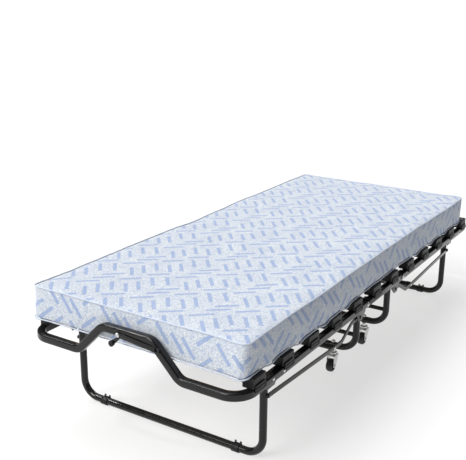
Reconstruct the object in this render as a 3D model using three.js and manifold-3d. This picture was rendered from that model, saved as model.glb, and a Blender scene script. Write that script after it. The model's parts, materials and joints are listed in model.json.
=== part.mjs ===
// Rollaway bed: two slatted steel halves hinged to a centre section that stands on four casters.
// Each half has a folding end leg, which two stays keep upright while the half swings up.
// Millimetres, +Z up. The origin is the floor point under the middle of the open bed.
// +X runs along the bed to the head end and +Y across it, to the left of someone facing the head.
import * as THREE from 'three';
import { mergeVertices } from 'three/addons/utils/BufferGeometryUtils.js';
import Module from 'manifold-3d';

const wasm = await Module();
wasm.setup();

// ---- Driving dimensions -------------------------------------------------------------------

const GAP = 0.3; // between pieces that touch
const BOLT_RADIUS = 4;
const BOLT_HOLE_RADIUS = 4.4;
const HEAD_RADIUS = 6.5; // bolt heads and nuts
const HEAD_THICKNESS = 3.6;
const NUT_THICKNESS = 4.5;
const SPACER_RADIUS = 8;
const CUT_PAST = 2; // how far a hole's cutter runs past the faces it cuts

const RAIL_SIZE = 26; // rounded square tube
const RAIL_EDGE_RADIUS = 5;
const RAIL_Y = 400; // centreline of the side rails
const RAIL_Z = 306;
const END_BAR_X = 998; // centreline of the end bars
const CORNER_RADIUS = 64;
const HUMP_RISE = 102; // the end bar's raised middle
const HUMP_TOP_Y = 94;
const HUMP_FOOT_Y = 194;
const HUMP_BEND_RADIUS = 45;

const RAIL_HALF = RAIL_SIZE / 2;
const RAIL_INNER_Y = RAIL_Y - RAIL_HALF;
const RAIL_OUTER_Y = RAIL_Y + RAIL_HALF;
const RAIL_TOP_Z = RAIL_Z + RAIL_HALF;

const HINGE_X = 168; // fold hinges, on the rails' centreline
const PLATE_THICKNESS = 3.5;
const PLATE_OUTER_Y = RAIL_INNER_Y - GAP;
const PLATE_INNER_Y = PLATE_OUTER_Y - PLATE_THICKNESS;
const PLATE_TOP_Z = RAIL_TOP_Z - 0.5;
const PLATE_X = [125, 212]; // the hinge plate's top edge, from the caster leg to the half's rail
const PLATE_FOOT_X = [154, 182];
const PLATE_SHOULDER_Z = [262, 286];
const PLATE_FOOT_DROP = 14; // below the stay's pivot
const WELD_BLOCK_X = [129, 150]; // between the plate and the caster leg
const WELD_BLOCK_Z = [266, 312];

const TUBE_RADIUS = 12.5; // round tube of the legs
const LEG_Y = 362;
const LEG_OUTER_Y = LEG_Y + TUBE_RADIUS;
const LEG_INNER_Y = LEG_Y - TUBE_RADIUS;
const LEG_X = 810;
const LEG_PIVOT_Z = 284;
const LEG_TOP_Z = LEG_PIVOT_Z + 14;
const LEG_BEND_RADIUS = 60;
const GUSSET_HALF_TOP = 45;
const GUSSET_HALF_BOTTOM = 24;
const GUSSET_SHOULDER_Z = 296;
const GUSSET_BOTTOM_Z = LEG_PIVOT_Z - 26;
const GLIDE_WALL = 3;
const LEG_BAR_Z = TUBE_RADIUS + GLIDE_WALL;
const GLIDE_Y = 268;
const GLIDE_LENGTH = 26;

const STAY_DROP = 56; // stay pivots lie this far under the half's own pivots, at both ends
const STAY_THICKNESS = 4.5;
const STAY_INNER_Y = LEG_OUTER_Y + 0.7;
const STAY_OUTER_Y = STAY_INNER_Y + STAY_THICKNESS;
const STAY_HALF_WIDTH = 7;
const STAY_CRANK_X = [225, 300, 372]; // from the hinge end outwards
const STAY_CRANK_Z = 204.5;
const STAY_FIRST_DIP = 5; // where the first crank starts
const TIE_X = 360;
const TIE_RADIUS = 10;

const CASTER_LEG_X = 142;
const CASTER_LEG_TOP_Z = 315;
const CASTER_BAR_Z = 103;
const CASTER_BEND_RADIUS = 62;
const BRACE_Z = 165;
const BRACE_RADIUS = 8;
const CASTER_Y = 273;
const CASTER_TRAIL = 14; // the wheel trails the swivel axis towards -X at rest
const KINGPIN_RADIUS = 5;
const KINGPIN_HOLE_RADIUS = 5.6;
const WHEEL_RADIUS = 25;
const WHEEL_WIDTH = 24;
const AXLE_RADIUS = 3.5;

const SLAT_PITCH = 166.7;
const SLAT_WIDTH = 60;
const SLAT_THICKNESS = 9;
const SLAT_END_Y = 380;
const SLAT_END_Z = 340.5; // centre of the plank at its ends; it arches to its middle
const SLAT_MIDDLE_Z = 348.5;
const HOLDER_LENGTH = 70;
const HOLDER_Y = [373, 411];
const HOLDER_Z = [RAIL_TOP_Z + GAP, 352];

const MATTRESS_HALF_WIDTH = 404;
const MATTRESS_Z = [355.5, 465.5];
const MATTRESS_END_X = { foot: 975, head: 891 }; // it lies a little towards the foot
const MATTRESS_SPLIT_X = 300; // the middle stretch bends when the bed folds
const MATTRESS_CORNER_RADIUS = 38;
const MATTRESS_EDGE = 10;

const LATCH_THICKNESS = 4;
const LATCH_Y = 24; // pivot on the foot end bar, and stud on the head end bar
const LATCH_Z = 402;
const LATCH_DROOP_DEG = 5;
const LATCH_FACE_X = END_BAR_X + RAIL_HALF;
const LATCH_STUD_RADIUS = 3.6;
const LATCH_START_X = LATCH_FACE_X + 0.6;
const LATCH_ARM_HALF = 7;
const LATCH_KNOB = { y: -20, z: -34, radius: 8.5 };
const FASTENER_TIP_X = 1020;

// ---- Materials ----------------------------------------------------------------------------

const finish = (color, roughness, metalness) =>
  new THREE.MeshStandardMaterial({ color, roughness, metalness });
const paintedSteel = () => finish(0x17171a, 0.35, 0.4);
const zinc = () => finish(0xb9bcc0, 0.3, 1);
const blackPlastic = () => finish(0x111113, 0.55, 0);
const wheelRubber = () => finish(0x0f0f10, 0.6, 0);
const birch = () => finish(0xc9a873, 0.6, 0);
const ticking = () => finish(0xb9c9ec, 0.9, 0);

// ---- Solids -------------------------------------------------------------------------------

// A closed three.js geometry as a manifold solid, with its shared vertices merged.
function solidOf(geometry) {
  const bare = geometry.clone();
  bare.deleteAttribute('normal');
  bare.deleteAttribute('uv');
  const merged = mergeVertices(bare, 1e-4);
  return new wasm.Manifold(new wasm.Mesh({
    numProp: 3,
    vertProperties: Float32Array.from(merged.attributes.position.array),
    triVerts: Uint32Array.from(merged.index.array),
  }));
}

function geometryOf(solid) {
  const mesh = solid.getMesh();
  const geometry = new THREE.BufferGeometry();
  geometry.setAttribute('position', new THREE.BufferAttribute(Float32Array.from(mesh.vertProperties), 3));
  geometry.setIndex(new THREE.BufferAttribute(Uint32Array.from(mesh.triVerts), 1));
  geometry.computeVertexNormals();
  return geometry;
}

// The joined solid of all the geometries in `add`, less those in `cut`.
function joined(add, cut = []) {
  let solid = solidOf(add[0]);
  for (const geometry of add.slice(1)) solid = solid.add(solidOf(geometry));
  for (const geometry of cut) solid = solid.subtract(solidOf(geometry));
  return geometryOf(solid);
}

// A curve through chosen stations, so that straight runs take no extra steps.
class StationPath extends THREE.Curve {
  constructor(stations) {
    super();
    this.stations = stations;
  }

  station(u) {
    return this.stations[Math.round(u * (this.stations.length - 1))];
  }

  getPointAt(u, target = new THREE.Vector3()) {
    return target.copy(this.station(u).point);
  }

  getTangentAt(u, target = new THREE.Vector3()) {
    return target.copy(this.station(u).tangent);
  }
}

// Stations along a polyline whose inner corners are bent to the given radii.
function bentPath(points, radii, stepDeg = 15) {
  const stations = [];
  const first = points[1].clone().sub(points[0]).normalize();
  stations.push({ point: points[0], tangent: first });
  for (let i = 1; i < points.length - 1; i += 1) {
    const before = points[i].clone().sub(points[i - 1]).normalize();
    const after = points[i + 1].clone().sub(points[i]).normalize();
    const angle = before.angleTo(after);
    const radius = radii[i - 1];
    const start = points[i].clone().addScaledVector(before, -radius * Math.tan(angle / 2));
    const inward = after.clone().addScaledVector(before, -before.dot(after)).normalize();
    const centre = start.clone().addScaledVector(inward, radius);
    const steps = Math.max(1, Math.round(THREE.MathUtils.radToDeg(angle) / stepDeg));
    for (let k = 0; k <= steps; k += 1) {
      const turn = (angle * k) / steps;
      const point = centre.clone();
      point.addScaledVector(inward, -radius * Math.cos(turn));
      point.addScaledVector(before, radius * Math.sin(turn));
      const tangent = before.clone().multiplyScalar(Math.cos(turn)).addScaledVector(inward, Math.sin(turn));
      stations.push({ point, tangent });
    }
  }
  const last = points[points.length - 1];
  stations.push({ point: last, tangent: last.clone().sub(points[points.length - 2]).normalize() });
  return new StationPath(stations);
}

function swept(section, path) {
  return new THREE.ExtrudeGeometry(section, {
    steps: path.stations.length - 1,
    extrudePath: path,
    curveSegments: 1,
  });
}

function polygon(points) {
  return new THREE.Shape(points.map(([x, y]) => new THREE.Vector2(x, y)));
}

function circleSection(radius, sides = 12) {
  const points = [];
  for (let k = 0; k < sides; k += 1) {
    const angle = (2 * Math.PI * k) / sides;
    points.push([radius * Math.cos(angle), radius * Math.sin(angle)]);
  }
  return polygon(points);
}

function roundedSquareSection(size, radius, stepsPerEdge = 2) {
  const points = [];
  const inset = size / 2 - radius;
  for (let corner = 0; corner < 4; corner += 1) {
    const centre = new THREE.Vector2(inset, inset).rotateAround(new THREE.Vector2(), (corner * Math.PI) / 2);
    for (let k = 0; k <= stepsPerEdge; k += 1) {
      const angle = (corner + k / stepsPerEdge) * (Math.PI / 2);
      points.push([centre.x + radius * Math.cos(angle), centre.y + radius * Math.sin(angle)]);
    }
  }
  return polygon(points);
}

// A plate whose outline is drawn in X and Z, between two Y planes.
function plateXZ(shape, yLow, yHigh, curveSegments = 6) {
  const settings = { depth: yHigh - yLow, bevelEnabled: false, curveSegments };
  const geometry = new THREE.ExtrudeGeometry(shape, settings);
  geometry.rotateX(Math.PI / 2);
  geometry.translate(0, yHigh, 0);
  return geometry;
}

// A plate whose outline is drawn in Y and Z, between two X planes.
function plateYZ(shape, xLow, xHigh, curveSegments = 6) {
  const settings = { depth: xHigh - xLow, bevelEnabled: false, curveSegments };
  const geometry = new THREE.ExtrudeGeometry(shape, settings);
  const yAxis = new THREE.Vector3(0, 1, 0);
  const zAxis = new THREE.Vector3(0, 0, 1);
  const xAxis = new THREE.Vector3(1, 0, 0);
  geometry.applyMatrix4(new THREE.Matrix4().makeBasis(yAxis, zAxis, xAxis));
  geometry.translate(xLow, 0, 0);
  return geometry;
}

function rodY(radius, x, z, yLow, yHigh, sides = 12) {
  const geometry = new THREE.CylinderGeometry(radius, radius, yHigh - yLow, sides);
  geometry.translate(x, (yLow + yHigh) / 2, z);
  return geometry;
}

function rodX(radius, y, z, xLow, xHigh, sides = 12) {
  const geometry = new THREE.CylinderGeometry(radius, radius, xHigh - xLow, sides);
  geometry.rotateZ(Math.PI / 2);
  geometry.translate((xLow + xHigh) / 2, y, z);
  return geometry;
}

function rodZ(radius, x, y, zLow, zHigh, sides = 12) {
  const geometry = new THREE.CylinderGeometry(radius, radius, zHigh - zLow, sides);
  geometry.rotateX(Math.PI / 2);
  geometry.translate(x, y, (zLow + zHigh) / 2);
  return geometry;
}

function box(xRange, yRange, zRange) {
  const geometry = new THREE.BoxGeometry(xRange[1] - xRange[0], yRange[1] - yRange[0], zRange[1] - zRange[0]);
  geometry.translate((xRange[0] + xRange[1]) / 2, (yRange[0] + yRange[1]) / 2, (zRange[0] + zRange[1]) / 2);
  return geometry;
}

// A turned piece along Y from [radius, y] steps, such as a bolt with its head and nut.
function turnedY(steps, sides = 8) {
  const profile = [new THREE.Vector2(0, steps[0][1])];
  for (const [radius, y] of steps) profile.push(new THREE.Vector2(radius, y));
  profile.push(new THREE.Vector2(0, steps[steps.length - 1][1]));
  return new THREE.LatheGeometry(profile, sides);
}

// A strip of flat bar drawn in X and Z along a polyline, with round ends.
function stripShape(points, halfWidth, endRadius) {
  const normals = [];
  for (let i = 0; i < points.length - 1; i += 1) {
    const along = points[i + 1].clone().sub(points[i]).normalize();
    normals.push(new THREE.Vector2(-along.y, along.x));
  }
  const upper = [];
  const lower = [];
  for (let i = 0; i < points.length; i += 1) {
    const a = normals[Math.max(0, i - 1)];
    const b = normals[Math.min(normals.length - 1, i)];
    const mitre = a.clone().add(b).normalize();
    const reach = halfWidth / mitre.dot(b);
    upper.push(points[i].clone().addScaledVector(mitre, reach));
    lower.push(points[i].clone().addScaledVector(mitre, -reach));
  }
  const strip = new THREE.Shape([...upper, ...lower.reverse()]);
  const ends = [points[0], points[points.length - 1]];
  return { strip, eyes: ends.map((end) => ({ x: end.x, z: end.y, radius: endRadius })) };
}

function addMesh(group, name, geometry, material, position = [0, 0, 0]) {
  const mesh = new THREE.Mesh(geometry, material);
  mesh.name = name;
  mesh.position.set(...position);
  group.add(mesh);
  return mesh;
}

// ---- Pieces of one half, drawn for the head half, with +X outboard ---------------------------

function frameTube(latchY) {
  const at = (x, y, z = RAIL_Z) => new THREE.Vector3(x, y, z);
  const humpZ = RAIL_Z + HUMP_RISE;
  const corners = [
    at(HINGE_X, -RAIL_Y),
    at(END_BAR_X, -RAIL_Y),
    at(END_BAR_X, -HUMP_FOOT_Y),
    at(END_BAR_X, -HUMP_TOP_Y, humpZ),
    at(END_BAR_X, HUMP_TOP_Y, humpZ),
    at(END_BAR_X, HUMP_FOOT_Y),
    at(END_BAR_X, RAIL_Y),
    at(HINGE_X, RAIL_Y),
  ];
  const humpRadii = [HUMP_BEND_RADIUS, HUMP_BEND_RADIUS, HUMP_BEND_RADIUS, HUMP_BEND_RADIUS];
  const path = bentPath(corners, [CORNER_RADIUS, ...humpRadii, CORNER_RADIUS]);
  const add = [swept(roundedSquareSection(RAIL_SIZE, RAIL_EDGE_RADIUS), path)];
  const cut = [rodY(BOLT_HOLE_RADIUS, HINGE_X, RAIL_Z, -RAIL_OUTER_Y - CUT_PAST, RAIL_OUTER_Y + CUT_PAST)];
  for (const side of [-1, 1]) {
    const faces = [side * RAIL_INNER_Y, side * RAIL_OUTER_Y].sort((a, b) => a - b);
    add.push(rodY(RAIL_HALF, HINGE_X, RAIL_Z, faces[0], faces[1], 24));
  }
  const barHalf = RAIL_HALF + CUT_PAST;
  cut.push(rodX(BOLT_HOLE_RADIUS, latchY, LATCH_Z, END_BAR_X - barHalf, END_BAR_X + barHalf));
  return joined(add, cut);
}

function legGusset(side) {
  const outline = polygon([
    [LEG_X - GUSSET_HALF_TOP, PLATE_TOP_Z],
    [LEG_X - GUSSET_HALF_TOP, GUSSET_SHOULDER_Z],
    [LEG_X - GUSSET_HALF_BOTTOM, GUSSET_BOTTOM_Z],
    [LEG_X + GUSSET_HALF_BOTTOM, GUSSET_BOTTOM_Z],
    [LEG_X + GUSSET_HALF_TOP, GUSSET_SHOULDER_Z],
    [LEG_X + GUSSET_HALF_TOP, PLATE_TOP_Z],
  ]);
  const faces = [side * PLATE_INNER_Y, side * PLATE_OUTER_Y].sort((a, b) => a - b);
  const plate = plateXZ(outline, faces[0], faces[1]);
  const hole = rodY(BOLT_HOLE_RADIUS, LEG_X, LEG_PIVOT_Z, faces[0] - CUT_PAST, faces[1] + CUT_PAST);
  return joined([plate], [hole]);
}

// The bolt that an end leg turns on: nut inside, spacer between leg and gusset, head outside.
function legPivotBolt(side) {
  const nut = LEG_INNER_Y - GAP;
  const spacerStart = LEG_OUTER_Y + GAP;
  const spacerEnd = PLATE_INNER_Y - GAP;
  const head = PLATE_OUTER_Y + GAP;
  const bolt = turnedY([
    [HEAD_RADIUS, nut - NUT_THICKNESS],
    [HEAD_RADIUS, nut],
    [BOLT_RADIUS, nut],
    [BOLT_RADIUS, spacerStart],
    [SPACER_RADIUS, spacerStart],
    [SPACER_RADIUS, spacerEnd],
    [BOLT_RADIUS, spacerEnd],
    [BOLT_RADIUS, head],
    [HEAD_RADIUS, head],
    [HEAD_RADIUS, head + HEAD_THICKNESS],
  ]);
  if (side < 0) bolt.rotateX(Math.PI);
  return bolt;
}

// The U of tube that stands under one end of the bed, with the studs that the stays turn on.
function endLeg() {
  const at = (y, z) => new THREE.Vector3(LEG_X, y, z);
  const corners = [at(-LEG_Y, LEG_TOP_Z), at(-LEG_Y, LEG_BAR_Z), at(LEG_Y, LEG_BAR_Z), at(LEG_Y, LEG_TOP_Z)];
  const add = [swept(circleSection(TUBE_RADIUS), bentPath(corners, [LEG_BEND_RADIUS, LEG_BEND_RADIUS]))];
  const studZ = LEG_PIVOT_Z - STAY_DROP;
  const headEnd = PLATE_INNER_Y - GAP;
  for (const side of [-1, 1]) {
    const stud = turnedY([
      [BOLT_RADIUS, LEG_Y],
      [BOLT_RADIUS, STAY_OUTER_Y + GAP],
      [HEAD_RADIUS, STAY_OUTER_Y + GAP],
      [HEAD_RADIUS, headEnd],
    ]);
    if (side < 0) stud.rotateX(Math.PI);
    stud.translate(LEG_X, 0, studZ);
    add.push(stud);
  }
  const hole = rodY(BOLT_HOLE_RADIUS, LEG_X, LEG_PIVOT_Z, -LEG_OUTER_Y - CUT_PAST, LEG_OUTER_Y + CUT_PAST);
  return joined(add, [hole]);
}

// A plastic clip round the leg's floor bar, open at the top.
function glide() {
  const outer = LEG_BAR_Z;
  const inner = TUBE_RADIUS + GAP;
  const reachDeg = 150;
  const stepDeg = 15;
  const ring = (radius) => {
    const points = [];
    for (let turn = -reachDeg; turn <= reachDeg; turn += stepDeg) {
      const angle = THREE.MathUtils.degToRad(turn - 90);
      points.push([radius * Math.cos(angle), radius * Math.sin(angle)]);
    }
    return points;
  };
  const outline = polygon([...ring(outer), ...ring(inner).reverse()]);
  return plateXZ(outline, -GLIDE_LENGTH / 2, GLIDE_LENGTH / 2);
}

// A flat bar from the hinge plate to the end leg, cranked down past the tie tube.
function stay(side) {
  const inboard = new THREE.Vector2(HINGE_X, RAIL_Z - STAY_DROP);
  const outboard = new THREE.Vector2(LEG_X, LEG_PIVOT_Z - STAY_DROP);
  const points = [
    inboard,
    new THREE.Vector2(STAY_CRANK_X[0], inboard.y - STAY_FIRST_DIP),
    new THREE.Vector2(STAY_CRANK_X[1], STAY_CRANK_Z),
    new THREE.Vector2(STAY_CRANK_X[2], STAY_CRANK_Z),
    outboard,
  ];
  const faces = [side * STAY_INNER_Y, side * STAY_OUTER_Y].sort((a, b) => a - b);
  const { strip, eyes } = stripShape(points, STAY_HALF_WIDTH, STAY_HALF_WIDTH + 1);
  const add = [plateXZ(strip, faces[0], faces[1])];
  const cut = [];
  for (const eye of eyes) {
    add.push(rodY(eye.radius, eye.x, eye.z, faces[0], faces[1], 16));
    cut.push(rodY(BOLT_HOLE_RADIUS, eye.x, eye.z, faces[0] - CUT_PAST, faces[1] + CUT_PAST));
  }
  return joined(add, cut);
}

function tieTube() {
  const halfLength = STAY_INNER_Y - GAP;
  return rodY(TIE_RADIUS, TIE_X, STAY_CRANK_Z, -halfLength, halfLength, 16);
}

// An arched plank with the plastic holder that carries each of its ends on the rail.
function slat() {
  const stations = [];
  const steps = 8;
  const rise = SLAT_MIDDLE_Z - SLAT_END_Z;
  for (let k = 0; k <= steps; k += 1) {
    const across = (2 * k) / steps - 1;
    const point = new THREE.Vector3(0, across * SLAT_END_Y, SLAT_MIDDLE_Z - rise * across * across);
    const tangent = new THREE.Vector3(0, SLAT_END_Y, -2 * rise * across).normalize();
    stations.push({ point, tangent });
  }
  // the first tangent leans off the level, so the section keeps its width along X
  const halfWidth = SLAT_WIDTH / 2;
  const halfThickness = SLAT_THICKNESS / 2;
  const section = polygon([
    [-halfWidth, -halfThickness],
    [halfWidth, -halfThickness],
    [halfWidth, halfThickness],
    [-halfWidth, halfThickness],
  ]);
  const halfHolder = [-HOLDER_LENGTH / 2, HOLDER_LENGTH / 2];
  return joined([
    swept(section, new StationPath(stations)),
    box(halfHolder, HOLDER_Y, HOLDER_Z),
    box(halfHolder, [-HOLDER_Y[1], -HOLDER_Y[0]], HOLDER_Z),
  ]);
}

// A stretch of mattress between two X planes, with round corners at the bed's ends.
function mattress(xLow, xHigh, lowCorner, highCorner) {
  const edge = MATTRESS_EDGE;
  const w = MATTRESS_HALF_WIDTH - edge;
  const x0 = xLow + edge;
  const x1 = xHigh - edge;
  const outline = [];
  const corner = (cx, cy, radius, startDeg) => {
    const steps = radius > 0 ? 4 : 0;
    for (let k = 0; k <= steps; k += 1) {
      const angle = THREE.MathUtils.degToRad(startDeg + (steps ? (90 * k) / steps : 0));
      outline.push([cx + radius * Math.cos(angle), cy + radius * Math.sin(angle)]);
    }
  };
  corner(x1 - highCorner, w - highCorner, highCorner, 0);
  corner(x0 + lowCorner, w - lowCorner, lowCorner, 90);
  corner(x0 + lowCorner, -w + lowCorner, lowCorner, 180);
  corner(x1 - highCorner, -w + highCorner, highCorner, 270);
  const geometry = new THREE.ExtrudeGeometry(polygon(outline), {
    depth: MATTRESS_Z[1] - MATTRESS_Z[0] - 2 * edge,
    bevelThickness: edge,
    bevelSize: edge,
    bevelSegments: 2,
    curveSegments: 4,
  });
  geometry.translate(0, 0, MATTRESS_Z[0] + edge);
  return geometry;
}

// ---- Latch, on the foot half's end bar, and its stud on the head half's -----------------------

function latch() {
  const xLow = LATCH_START_X;
  const xHigh = xLow + LATCH_THICKNESS;
  const reach = 2 * (HINGE_X - (LATCH_Z - RAIL_Z)); // pivot to stud with the bed folded
  const tip = reach + 11;
  const armHalf = LATCH_ARM_HALF;
  const slotHalf = LATCH_STUD_RADIUS + 1;
  const arm = polygon([
    [0, -armHalf],
    [tip - 4, -armHalf - 2],
    [tip, -armHalf + 2],
    [tip, armHalf - 1],
    [tip - 3, armHalf + 2],
    [reach + slotHalf, armHalf + 2],
    [reach + slotHalf, -2.5],
    [reach + slotHalf / 2, -slotHalf - 0.4],
    [reach - slotHalf / 2, -slotHalf - 0.4],
    [reach - slotHalf, -2.5],
    [reach - slotHalf, armHalf],
    [0, armHalf],
  ]);
  const tail = polygon([
    [4, -6],
    [-25, -30],
    [-16, -37],
    [9, -8],
  ]);
  const add = [
    plateYZ(arm, xLow, xHigh),
    plateYZ(tail, xLow, xHigh),
    rodX(11, 0, 0, xLow, xHigh, 20),
    rodX(LATCH_KNOB.radius, LATCH_KNOB.y, LATCH_KNOB.z, xLow, FASTENER_TIP_X, 16),
  ];
  const geometry = joined(add, [rodX(BOLT_HOLE_RADIUS, 0, 0, xLow - CUT_PAST, xHigh + CUT_PAST)]);
  geometry.rotateX(THREE.MathUtils.degToRad(-LATCH_DROOP_DEG));
  return geometry;
}

// A headed fastener through the end bar: the latch's pivot bolt, or the stud it hooks over.
function endBarFastener(shankRadius, headRadius) {
  const inner = END_BAR_X - RAIL_HALF - GAP;
  const headStart = LATCH_START_X + LATCH_THICKNESS + 0.5;
  const fastener = turnedY([
    [HEAD_RADIUS, inner - HEAD_THICKNESS],
    [HEAD_RADIUS, inner],
    [shankRadius, inner],
    [shankRadius, headStart],
    [headRadius, headStart],
    [headRadius, FASTENER_TIP_X],
  ]);
  fastener.rotateZ(-Math.PI / 2);
  return fastener;
}

// ---- Centre section -----------------------------------------------------------------------

function centreRail(side) {
  const halfLength = HINGE_X - RAIL_HALF - 1.2;
  const stations = [-1, 1].map((end) => ({
    point: new THREE.Vector3(end * halfLength, side * RAIL_Y, RAIL_Z),
    tangent: new THREE.Vector3(1, 0, 0),
  }));
  return swept(roundedSquareSection(RAIL_SIZE, RAIL_EDGE_RADIUS), new StationPath(stations));
}

// The plate that joins a caster leg to the rails, with the stud that the stay turns on.
function hingePlate(end, side) {
  const studZ = RAIL_Z - STAY_DROP;
  const footZ = studZ - PLATE_FOOT_DROP;
  const outline = polygon([
    [end * PLATE_X[0], PLATE_TOP_Z],
    [end * PLATE_X[0], PLATE_SHOULDER_Z[0]],
    [end * PLATE_FOOT_X[0], footZ],
    [end * PLATE_FOOT_X[1], footZ],
    [end * PLATE_X[1], PLATE_SHOULDER_Z[1]],
    [end * PLATE_X[1], PLATE_TOP_Z],
  ]);
  const layer = (yLow, yHigh) => [side * yLow, side * yHigh].sort((a, b) => a - b);
  const faces = layer(PLATE_INNER_Y, PLATE_OUTER_Y);
  const block = layer(LEG_OUTER_Y + GAP, PLATE_INNER_Y + 1);
  const blockX = WELD_BLOCK_X.map((x) => end * x).sort((a, b) => a - b);
  const stud = turnedY([
    [HEAD_RADIUS, STAY_INNER_Y - GAP - HEAD_THICKNESS],
    [HEAD_RADIUS, STAY_INNER_Y - GAP],
    [BOLT_RADIUS, STAY_INNER_Y - GAP],
    [BOLT_RADIUS, STAY_OUTER_Y + GAP],
    [SPACER_RADIUS, STAY_OUTER_Y + GAP],
    [SPACER_RADIUS, PLATE_INNER_Y + 1],
    [HEAD_RADIUS, PLATE_INNER_Y + 1],
    [HEAD_RADIUS, PLATE_OUTER_Y + HEAD_THICKNESS],
  ]);
  if (side < 0) stud.rotateX(Math.PI);
  stud.translate(end * HINGE_X, 0, studZ);
  const plate = plateXZ(outline, faces[0], faces[1]);
  const hole = rodY(BOLT_HOLE_RADIUS, end * HINGE_X, RAIL_Z, faces[0] - CUT_PAST, faces[1] + CUT_PAST);
  return joined([plate, box(blockX, block, WELD_BLOCK_Z), stud], [hole]);
}

function hingeBolt(side) {
  const bolt = turnedY([
    [HEAD_RADIUS, STAY_OUTER_Y + 2 * GAP],
    [HEAD_RADIUS, PLATE_INNER_Y - GAP],
    [BOLT_RADIUS, PLATE_INNER_Y - GAP],
    [BOLT_RADIUS, RAIL_OUTER_Y + GAP],
    [HEAD_RADIUS, RAIL_OUTER_Y + GAP],
    [HEAD_RADIUS, RAIL_OUTER_Y + GAP + HEAD_THICKNESS],
  ]);
  if (side < 0) bolt.rotateX(Math.PI);
  return bolt;
}

// The U of tube that carries two casters, with its cross brace and the kingpin holes.
function casterLeg() {
  const at = (y, z) => new THREE.Vector3(0, y, z);
  const top = CASTER_LEG_TOP_Z;
  const corners = [at(-LEG_Y, top), at(-LEG_Y, CASTER_BAR_Z), at(LEG_Y, CASTER_BAR_Z), at(LEG_Y, top)];
  const tube = swept(circleSection(TUBE_RADIUS), bentPath(corners, [CASTER_BEND_RADIUS, CASTER_BEND_RADIUS]));
  const brace = rodY(BRACE_RADIUS, 0, BRACE_Z, -LEG_Y, LEG_Y);
  const reach = TUBE_RADIUS + CUT_PAST;
  const hole = (y) => rodZ(KINGPIN_HOLE_RADIUS, 0, y, CASTER_BAR_Z - reach, CASTER_BAR_Z + reach);
  return joined([tube, brace], [hole(-CASTER_Y), hole(CASTER_Y)]);
}

// Caster fork about its swivel axis: kingpin and nut, bearing housing, two cheeks and the axle.
function casterFork() {
  const crownZ = 65;
  const crownX = [-19, 15];
  const cheekInner = WHEEL_WIDTH / 2 + 1.6;
  const cheekOuter = cheekInner + 2.5;
  const eyeRadius = 8;
  const cheek = new THREE.Shape();
  cheek.moveTo(crownX[0], crownZ);
  cheek.lineTo(crownX[1], crownZ);
  cheek.lineTo(crownX[1], crownZ - 9);
  cheek.absarc(-CASTER_TRAIL, WHEEL_RADIUS, eyeRadius, -0.6, Math.PI, true);
  const housingTop = CASTER_BAR_Z - TUBE_RADIUS - 0.5;
  const barTop = CASTER_BAR_Z + TUBE_RADIUS;
  return joined([
    plateXZ(cheek, cheekInner, cheekOuter, 8),
    plateXZ(cheek, -cheekOuter, -cheekInner, 8),
    box(crownX, [-cheekOuter, cheekOuter], [crownZ - 2.6, crownZ]),
    rodZ(13, 0, 0, crownZ - 0.2, crownZ + 10),
    rodZ(9, 0, 0, crownZ + 9, housingTop, 10),
    rodZ(KINGPIN_RADIUS, 0, 0, housingTop - 1, barTop + 3, 8),
    rodZ(8, 0, 0, barTop + 0.5, barTop + 6, 6),
    rodY(AXLE_RADIUS, -CASTER_TRAIL, WHEEL_RADIUS, -cheekOuter - 2, cheekOuter + 2, 8),
  ]);
}

// A wheel about its own axle, along Y.
function casterWheel() {
  const half = WHEEL_WIDTH / 2;
  const bore = AXLE_RADIUS + 0.5;
  const profile = [
    [bore, -half + 1],
    [17, -half + 1],
    [19, -half],
    [WHEEL_RADIUS - 3, -half],
    [WHEEL_RADIUS, -half + 3],
    [WHEEL_RADIUS, half - 3],
    [WHEEL_RADIUS - 3, half],
    [19, half],
    [17, half - 1],
    [bore, half - 1],
    [bore, -half + 1],
  ];
  return new THREE.LatheGeometry(profile.map(([r, y]) => new THREE.Vector2(r, y)), 16);
}

// ---- Assembly -----------------------------------------------------------------------------

const sideName = (worldSide) => (worldSide > 0 ? 'left' : 'right');

// One half of the bed. `end` is 1 for the head half and -1 for the foot half, turned half round.
function bedHalf(label, end) {
  const half = new THREE.Group();
  half.rotation.z = end > 0 ? 0 : Math.PI;
  addMesh(half, `${label}_frame_tube`, frameTube(end * LATCH_Y), paintedSteel());
  addMesh(half, `${label}_end_leg`, endLeg(), paintedSteel());
  addMesh(half, `${label}_tie_tube`, tieTube(), paintedSteel());
  for (const side of [-1, 1]) {
    const name = sideName(side * end);
    addMesh(half, `${label}_leg_gusset_${name}`, legGusset(side), paintedSteel());
    addMesh(half, `${label}_leg_bolt_${name}`, legPivotBolt(side), zinc(), [LEG_X, 0, LEG_PIVOT_Z]);
    addMesh(half, `${label}_stay_${name}`, stay(side), paintedSteel());
    addMesh(half, `${label}_glide_${name}`, glide(), blackPlastic(), [LEG_X, side * GLIDE_Y, LEG_BAR_Z]);
  }
  for (let k = 1; k <= 5; k += 1) {
    addMesh(half, `${label}_slat_${k}`, slat(), birch(), [(k + 0.5) * SLAT_PITCH, 0, 0]);
  }
  const padEnd = MATTRESS_END_X[label];
  const pad = mattress(MATTRESS_SPLIT_X, padEnd, 0, MATTRESS_CORNER_RADIUS);
  addMesh(half, `mattress_${label}`, pad, ticking());
  return half;
}

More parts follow.
